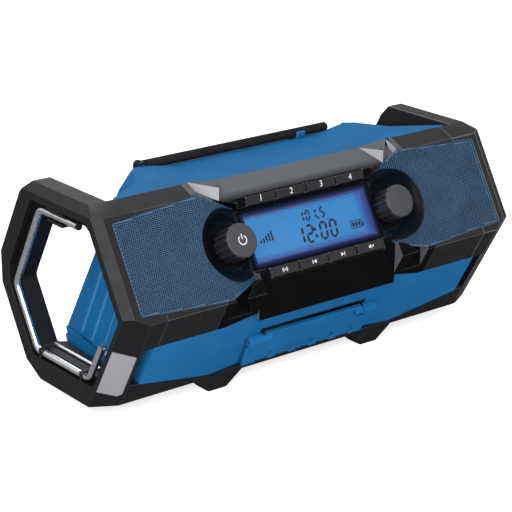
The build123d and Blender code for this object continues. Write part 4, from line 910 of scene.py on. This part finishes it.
def add_battery_sign(build, matrix):
    """The outline of a battery with its terminal and three charge blocks."""
    left, right, low, high = 36.0, 47.0, 8.0, 13.2
    line = 0.7
    inner_left, inner_right = left + line / 2, right - line / 2
    strokes = [
        (left, low, right, low, line), (left, high, right, high, line),
        (inner_left, low, inner_left, high, line), (inner_right, low, inner_right, high, line),
        (right, 9.6, right + 1.2, 9.6, 2.6),
    ]
    strokes += [(x, 9.0, x, 12.2, 2.2) for x in (38.6, 41.5, 44.4)]
    for stroke in strokes:
        add_plate(build, matrix, bar(*(value * MM for value in stroke)), 0, DECAL)


def backlit_finish(sizes):
    """Backlit display with a bright middle and a deeper blue border, widest at the right."""
    finish = Finish("lit_display")
    place = finish.node("ShaderNodeNewGeometry")
    position = finish.node("ShaderNodeSeparateXYZ")
    finish.link(place.outputs["Position"], position.inputs[0])
    across = finish.maths("ABSOLUTE", position.outputs["X"])
    right_rim = finish.spread(position.outputs["X"], 0, 1, *(WINDOW_HALF - inset for inset in RIGHT_RIM))
    both_rims = finish.spread(across, 0, 1, *(WINDOW_HALF - inset for inset in SIDE_RIM))
    side = finish.maths("MAXIMUM", both_rims, right_rim)
    middle_up = (WINDOW_LOW + WINDOW_HIGH) / 2
    middle_z = front_point(0, middle_up, LCD_OUT).z
    half_z = (WINDOW_HIGH - WINDOW_LOW) / 2 * UPWARD.z
    lift = finish.maths("SUBTRACT", position.outputs["Z"], middle_z)
    upper_rim = finish.spread(lift, 0, 1, *(half_z - inset for inset in UPPER_RIM))
    lower_rim = finish.spread(lift, 1, 0, *(inset - half_z for inset in reversed(LOWER_RIM)))
    level = finish.maths("MAXIMUM", upper_rim, lower_rim)
    rim = finish.maths("MAXIMUM", side, level)
    fine = finish.spread(finish.noise(20 * MM), 0.0, 0.12)
    tone = finish.between(finish.maths("ADD", rim, fine), sizes.lit, sizes.border)
    finish.fix("Base Color", (*scaled(sizes.lit, 0.15), 1))
    finish.link(tone, finish.shader.inputs["Emission Color"])
    finish.fix("Emission Strength", 0.92)
    finish.fix("Specular IOR Level", 0.2)
    finish.fix("Roughness", 0.4)
    return finish.material


def clear_window():
    """Clear window with a faint haze."""
    finish = Finish("clear_window")
    finish.fix("Base Color", (0.8, 0.9, 1.0, 1))
    finish.fix("Alpha", 0.03)
    finish.fix("Specular IOR Level", 0.3)
    finish.rough(finish.spread(finish.noise(8 * MM, detail=4.0), 0.06, 0.12))
    return finish.material


class RADIO_OT_display(bpy.types.Operator):
    """Light the display, draw its plain numbers and glaze it"""

    bl_idname = "radio.display"
    bl_label = "Display"

    def execute(self, context):
        sizes = settings("display_sizes")
        dress(backlit_finish(sizes), "lcd_module")
        dress(clear_window(), "display_window")
        soften(0.2 * MM, "display_window")
        matrix = local_frame(front_point(0, WINDOW_LOW, LCD_OUT + 0.02 * MM), RIGHTWARD, UPWARD)
        build = bmesh.new()
        digit_row(build, matrix, "101.5", -8.0 * MM, 21.2 * MM, sizes.small_digit, 1.6 * MM)
        digit_row(build, matrix, "12:00", -15.5 * MM, 5.2 * MM, sizes.digit, 2.0 * MM)
        add_signal_bars(build, matrix)
        add_battery_sign(build, matrix)
        ink = printed_mark("segment_ink", sizes.ink)
        piece_from("display_segments", build, ink, "radio")
        return {"FINISHED"}


# ---- Knobs ------------------------------------------------------------------------------------
GROOVE_DEPTH = 1.1 * MM
GRIP_STEEPNESS = 2.2
CROWN_SEAT = 11.0 * MM
CROWN_STEPS = 72
STEPS_PER_RIB = 10


class RADIO_OT_knobs(bpy.types.Operator):
    """Build the ribbed knobs, their caps and the power mark"""

    bl_idname = "radio.knobs"
    bl_label = "Knobs"

    def execute(self, context):
        sizes = settings("knob_sizes")
        full, front = sizes.radius, sizes.front
        colours = settings("radio_colours")
        barrel = moulded_plastic("knob_black", scaled(colours.black, 2.2), roughness=0.3, shine=0.6)
        cap = moulded_plastic("cap_grey", colours.cap, roughness=0.48, grain=0.6 * MM, depth=0.08 * MM)
        ink = printed_mark("white_ink", colours.ink)

        def ribbed(radius, angle):
            if radius <= CROWN_SEAT:
                return radius
            wave = 0.5 + GRIP_STEEPNESS * cos(angle * sizes.ribs)
            return radius - GROOVE_DEPTH * max(0.0, min(1.0, wave))

        for name, side in (("left", -1), ("right", 1)):
            matrix = local_frame(front_point(side * KNOB_X, KNOB_UP, 0), RIGHTWARD, UPWARD)
            build = bmesh.new()
            turned_form(build, matrix, [
                (full - 0.6 * MM, sizes.base), (full, sizes.base + 0.6 * MM),
                (full, front - 2.1 * MM), (full - 0.4 * MM, front - 1.6 * MM),
                (10.8 * MM, front - 1.5 * MM), (10.7 * MM, front - 1.3 * MM),
            ], sizes.ribs * STEPS_PER_RIB, ribbed)
            grip = piece_from(
                f"{name}_knob_grip", build, barrel, f"{name}_knob", [f"{name}_knob"]
            )
            smooth_over(grip, radians(40))
            build = bmesh.new()
            turned_form(build, matrix, [
                (full - 0.55 * MM, front - 1.7 * MM), (full - 0.35 * MM, front - 1.5 * MM),
                (full - 0.40 * MM, front - 1.1 * MM), (full - 0.9 * MM, front - 0.5 * MM),
                (full - 1.8 * MM, front - 0.2 * MM), (full * 0.5, front - 0.08 * MM),
                (full * 0.2, front - 0.05 * MM),
            ], CROWN_STEPS)
            crown = piece_from(f"{name}_knob_cap", build, cap, f"{name}_knob")
            smooth_over(crown, radians(50))
        matrix = local_frame(front_point(-KNOB_X, KNOB_UP, front - 0.14 * MM), RIGHTWARD, UPWARD)
        build = bmesh.new()
        line, raised = 0.75 * MM, 0.12 * MM
        add_plate(build, matrix, arc_band(3.3 * MM, line, 125, 415), 0, raised)
        add_plate(build, matrix, bar(0, 0.6 * MM, 0, 4.4 * MM, line), 0, raised)
        piece_from("power_mark", build, ink, "left_knob")
        return {"FINISHED"}


# ---- Buttons ----------------------------------------------------------------------------------
SIGN_UNIT = 1.15 * MM
NUMERAL_HEIGHT = 4.4 * MM
# A figure's height as a share of its type size.
CAPITAL_SHARE = 0.7
MARK_LIFT = 0.03 * MM


def face_frame(x, face):
    """The frame of a button's slanted face, at its middle."""
    (low_up, low_out), (high_up, high_out) = face
    low = front_point(x, low_up, low_out)
    high = front_point(x, high_up, high_out)
    return local_frame((low + high) / 2, RIGHTWARD, high - low)


def add_numeral(build, matrix, text, height):
    """A printed numeral, centred on the frame."""
    curve = bpy.data.curves.new("numeral", "FONT")
    curve.body = text
    curve.size = height / CAPITAL_SHARE
    curve.align_x = "CENTER"
    curve.align_y = "CENTER"
    curve.extrude = DECAL
    curve.resolution_u = 4
    holder = bpy.data.objects.new("numeral", curve)
    bpy.context.scene.collection.objects.link(holder)
    bpy.context.view_layer.update()
    mesh = bpy.data.meshes.new_from_object(holder)
    mesh.transform(matrix)
    build.from_mesh(mesh)
    bpy.data.objects.remove(holder)
    bpy.data.meshes.remove(mesh)
    bpy.data.curves.remove(curve)


def add_icon(build, matrix, number):
    """The mark on one function button: waves, back, forward or mute."""
    unit = SIGN_UNIT
    if number == 1:
        for radius in (0.9, 1.9):
            for start in (-48, 132):
                outline = arc_band(radius * unit, 0.42 * unit, start, start + 96, 10)
                add_plate(build, matrix, outline, 0, DECAL)
        add_plate(build, matrix, arc_points(0.4 * unit, 0, 330, 12), 0, DECAL)
    elif number in (2, 3):
        way = -1 if number == 2 else 1
        foot, size = -1.7 * unit, 2.4 * unit
        triangle = [(way * foot, 0.55 * size), (way * foot, -0.55 * size), (way * (foot + size), 0)]
        add_plate(build, matrix, triangle if way > 0 else triangle[::-1], 0, DECAL)
        bar_x = way * 1.3 * unit
        add_plate(build, matrix, bar(bar_x, -1.3 * unit, bar_x, 1.3 * unit, 0.5 * unit), 0, DECAL)
    else:
        horn = [(-1.9, -0.6), (-1.1, -0.6), (0.1, -1.5), (0.1, 1.5), (-1.1, 0.6), (-1.9, 0.6)]
        add_plate(build, matrix, [(x * unit, y * unit) for x, y in horn], 0, DECAL)
        for way in (-1, 1):
            stroke = bar(0.8 * unit, -0.7 * way * unit, 2.2 * unit, 0.7 * way * unit, 0.4 * unit)
            add_plate(build, matrix, stroke, 0, DECAL)


class RADIO_OT_buttons(bpy.types.Operator):
    """Dress the eight push buttons and print their numerals and signs"""

    bl_idname = "radio.buttons"
    bl_label = "Buttons"

    def execute(self, context):
        colours = settings("radio_colours")
        keys = moulded_plastic("button_grey", colours.button, roughness=0.42, depth=0.04 * MM)
        # painted highlight: a grey on the buttons' rounded edges
        key_edge_highlight = moulded_plastic("button_edge", colours.button_edge, roughness=0.36)
        ink = printed_mark("key_ink", colours.ink)
        lift = Matrix.Translation(OUTWARD * MARK_LIFT)
        for number in range(1, BUTTON_COUNT + 1):
            preset, function = f"preset_button_{number}", f"function_button_{number}"
            dress(keys, preset, function, edge=key_edge_highlight)
            soften(0.45 * MM, preset, function)
            from_middle = number - (BUTTON_COUNT + 1) / 2
            build = bmesh.new()
            face = face_frame(PRESET_PITCH * from_middle, PRESET_FACE)
            add_numeral(build, lift @ face, str(number), NUMERAL_HEIGHT)
            piece_from(f"{preset}_numeral", build, ink, preset)
            build = bmesh.new()
            face = face_frame(FUNCTION_PITCH * from_middle, FUNCTION_FACE)
            add_icon(build, lift @ face, number)
            piece_from(f"{function}_sign", build, ink, function)
        return {"FINISHED"}


# ---- Hook -------------------------------------------------------------------------------------
class RADIO_OT_hook(bpy.types.Operator):
    """Dress the chromed hook, its saddles, clip and cover plate"""

    bl_idname = "radio.hook"
    bl_label = "Hook"

    def execute(self, context):
        colours = settings("radio_colours")
        chrome = metal("hook_chrome", (0.78, 0.79, 0.82), 0.26)
        dress(chrome, "hook", "hook_spring_bar", "hook_stop_pin")
        dress(rubber("tip_rubber", (0.012, 0.012, 0.013)), "hook_tip")
        clip = moulded_plastic("clip_black", colours.black, roughness=0.4)
        dress(clip, "hook_clip", "hook_saddles")
        soften(0.3 * MM, "hook_clip", "hook_saddles")
        cover = moulded_plastic("cover_grey", colours.cover, roughness=0.4, mottle=0.04)
        dress(cover, "hook_cover")
        soften(0.3 * MM, "hook_cover")
        return {"FINISHED"}


# ---- Aerial -----------------------------------------------------------------------------------
class RADIO_OT_aerial(bpy.types.Operator):
    """Dress the folding aerial, its bracket and pin"""

    bl_idname = "radio.aerial"
    bl_label = "Aerial"

    def execute(self, context):
        sleeve = rubber("aerial_sleeve", (0.014, 0.014, 0.015))
        dress(sleeve, "aerial")
        dress(moulded_plastic("bracket_black", settings("radio_colours").black), "aerial_bracket")
        dress(metal("pin_steel", (0.58, 0.58, 0.6), 0.3), "aerial_pin", "door_hinge_pins")
        soften(0.3 * MM, "aerial_bracket")
        return {"FINISHED"}


# ---- Service compartment ----------------------------------------------------------------------
class RADIO_OT_service_bay(bpy.types.Operator):
    """Dress the sockets and backup cells behind the service door"""

    bl_idname = "radio.service_bay"
    bl_label = "Service compartment"

    def execute(self, context):
        black = moulded_plastic("socket_black", (0.014, 0.014, 0.015), roughness=0.34)
        dress(black, "aux_jack")
        dress(metal("socket_steel", (0.6, 0.6, 0.62), 0.26), "usb_socket")
        dress(moulded_plastic("cell_wrap", (0.05, 0.20, 0.16), roughness=0.25), "backup_cells")
        return {"FINISHED"}


# ---- Battery ----------------------------------------------------------------------------------
class RADIO_OT_battery(bpy.types.Operator):
    """Dress the slide-in battery, its latch, cells and terminals"""

    bl_idname = "radio.battery"
    bl_label = "Battery"

    def execute(self, context):
        colours = settings("radio_colours")
        case = moulded_plastic("battery_black", scaled(colours.black, 1.2), roughness=0.46)
        dress(case, "battery_case")
        dress(moulded_plastic("latch_red", (0.36, 0.012, 0.012), roughness=0.38), "battery_latch")
        dress(moulded_plastic("battery_cell_wrap", (0.03, 0.12, 0.22), roughness=0.25), "battery_cells")
        dress(metal("terminal_brass", (0.66, 0.50, 0.22), 0.28), "terminal_block")
        soften(0.6 * MM, "battery_case")
        soften(0.4 * MM, "battery_latch")
        return {"FINISHED"}


# ---- Feet and screws --------------------------------------------------------------------------
class RADIO_OT_feet(bpy.types.Operator):
    """Dress the rubber feet and the case screws"""

    bl_idname = "radio.feet"
    bl_label = "Feet and screws"

    def execute(self, context):
        dress(rubber("foot_rubber", (0.012, 0.012, 0.013)), "feet")
        soften(1.0 * MM, "feet", segments=3)
        dress(metal("screw_steel", (0.5, 0.5, 0.52), 0.32), "base_screws", "rear_screws")
        return {"FINISHED"}


# ---- Stage ------------------------------------------------------------------------------------
FLOOR_REACH = 6.0
FLOOR_GLOW = 0.72
FLOOR_IN_MIRRORS = 0.3
CAMERA_AIM = Vector((-70.5 * MM, -78.0 * MM, 114.1 * MM))
SENSOR_WIDTH = 36.0


def studio_world(sky):
    """White to the eye, this strong as a light, and brighter overhead where surfaces mirror it."""
    world = bpy.data.worlds.new("studio")
    bpy.context.scene.world = world
    world.use_nodes = True
    nodes, links = world.node_tree.nodes, world.node_tree.links
    background = nodes["Background"]
    background.inputs["Color"].default_value = (1, 1, 1, 1)
    rays = nodes.new("ShaderNodeLightPath")
    seen = nodes.new("ShaderNodeMath")
    seen.operation = "MAXIMUM"
    links.new(rays.outputs["Is Camera Ray"], seen.inputs[0])
    links.new(rays.outputs["Is Transmission Ray"], seen.inputs[1])
    place = nodes.new("ShaderNodeTexCoord")
    height = nodes.new("ShaderNodeSeparateXYZ")
    links.new(place.outputs["Generated"], height.inputs[0])
    mirrored_sky = nodes.new("ShaderNodeMapRange")
    links.new(height.outputs["Z"], mirrored_sky.inputs["Value"])
    for key, number in (("From Min", -0.1), ("From Max", 0.8), ("To Min", 0.35), ("To Max", 1.1)):
        mirrored_sky.inputs[key].default_value = number
    as_light = nodes.new("ShaderNodeMix")
    links.new(rays.outputs["Is Glossy Ray"], as_light.inputs[0])
    as_light.inputs[2].default_value = sky
    links.new(mirrored_sky.outputs["Result"], as_light.inputs[3])
    strength = nodes.new("ShaderNodeMix")
    links.new(seen.outputs[0], strength.inputs[0])
    links.new(as_light.outputs[0], strength.inputs[2])
    strength.inputs[3].default_value = 1.0
    links.new(strength.outputs[0], background.inputs["Strength"])


def area_lamp(name, direction, distance, size, power, target):
    """A soft square lamp that looks at the target."""
    data = bpy.data.lights.new(name, "AREA")
    data.size = size
    data.energy = power
    lamp = bpy.data.objects.new(name, data)
    bpy.context.scene.collection.objects.link(lamp)
    lamp.location = target + Vector(direction).normalized() * distance
    lamp.rotation_euler = (target - lamp.location).to_track_quat("-Z", "Y").to_euler()


def floor_finish():
    """Floor that is white to the eye away from the shadow, pale as a light and grey in mirrors."""
    finish = Finish("floor_white")
    rays = finish.node("ShaderNodeLightPath")
    finish.fix("Emission Color", (1, 1, 1, 1))
    finish.link(finish.maths("MULTIPLY", rays.outputs["Is Camera Ray"], FLOOR_GLOW),
                finish.shader.inputs["Emission Strength"])
    pale = finish.spread(finish.noise(0.2), 0.93, 0.95)
    dimming = finish.spread(rays.outputs["Is Glossy Ray"], 1, FLOOR_IN_MIRRORS, 0, 1)
    tone = finish.maths("MULTIPLY", pale, dimming)
    mix = finish.node("ShaderNodeCombineColor")
    for channel in ("Red", "Green", "Blue"):
        finish.link(tone, mix.inputs[channel])
    finish.colour(mix.outputs["Color"])
    finish.fix("Roughness", 0.9)
    finish.fix("Specular IOR Level", 0.1)
    return finish.material


class RADIO_OT_stage(bpy.types.Operator):
    """Set the floor, the soft lamps and the camera"""

    bl_idname = "radio.stage"
    bl_label = "Stage"

    def execute(self, context):
        stage = settings("stage_settings")
        middle = (cad_low + cad_high) / 2
        build = bmesh.new()
        corners = [(-1, -1), (1, -1), (1, 1), (-1, 1)]
        build.faces.new([
            build.verts.new((x * FLOOR_REACH, y * FLOOR_REACH, cad_low.z)) for x, y in corners
        ])
        mesh = bpy.data.meshes.new("floor")
        build.to_mesh(mesh)
        build.free()
        mesh.materials.append(floor_finish())
        floor = bpy.data.objects.new("floor", mesh)
        context.scene.collection.objects.link(floor)
        studio_world(stage.sky)
        area_lamp("key_lamp", (-0.85, -0.85, 0.7), 1.4, 0.9, stage.key, middle)
        area_lamp("fill_lamp", (0.9, -0.9, 0.5), 1.8, 1.2, stage.fill, middle)
        area_lamp("rim_lamp", (0.2, 1.0, 1.1), 1.6, 1.0, stage.rim, middle)
        back = Vector((
            cos(stage.elevation) * sin(stage.azimuth),
            -cos(stage.elevation) * cos(stage.azimuth),
            sin(stage.elevation),
        ))
        data = bpy.data.cameras.new("camera")
        data.lens = stage.lens
        data.sensor_width = SENSOR_WIDTH
        camera = bpy.data.objects.new("camera", data)
        context.scene.collection.objects.link(camera)
        camera.location = CAMERA_AIM + back * stage.distance
        camera.rotation_euler = back.to_track_quat("Z", "Y").to_euler()
        context.scene.camera = camera
        context.scene.view_settings.view_transform = "Standard"
        return {"FINISHED"}


# ---- Add-on -----------------------------------------------------------------------------------
GROUPS = {
    "radio_colours": RadioColours,
    "grille_sizes": GrilleSizes,
    "knob_sizes": KnobSizes,
    "display_sizes": DisplaySizes,
    "stage_settings": StageSettings,
}
OPERATORS = (
    RADIO_OT_shells,
    RADIO_OT_console,
    RADIO_OT_grilles,
    RADIO_OT_speakers,
    RADIO_OT_display,
    RADIO_OT_knobs,
    RADIO_OT_buttons,
    RADIO_OT_hook,
    RADIO_OT_aerial,
    RADIO_OT_service_bay,
    RADIO_OT_battery,
    RADIO_OT_feet,
    RADIO_OT_stage,
)


class RADIO_PT_looks(bpy.types.Panel):
    """Buttons for every group of pieces"""

    bl_idname = "RADIO_PT_looks"
    bl_label = "Jobsite radio"
    bl_space_type = "VIEW_3D"
    bl_region_type = "UI"
    bl_category = "Radio"

    def draw(self, context):
        for operator in OPERATORS:
            self.layout.operator(operator.bl_idname)


def register():
    """Registers the settings, the operators and the panel."""
    for name, group in GROUPS.items():
        bpy.utils.register_class(group)
        setattr(bpy.types.Scene, name, PointerProperty(type=group))
    for made in (*OPERATORS, RADIO_PT_looks):
        bpy.utils.register_class(made)


def unregister():
    """Takes everything back out."""
    for made in reversed((*OPERATORS, RADIO_PT_looks)):
        bpy.utils.unregister_class(made)
    for name, group in reversed(list(GROUPS.items())):
        delattr(bpy.types.Scene, name)
        bpy.utils.unregister_class(group)


def main():
    """Builds every group in order."""
    register()
    for operator in OPERATORS:
        group, name = operator.bl_idname.split(".")
        getattr(getattr(bpy.ops, group), name)()
    bpy.context.view_layer.update()


if __name__ == "__main__":
    main()
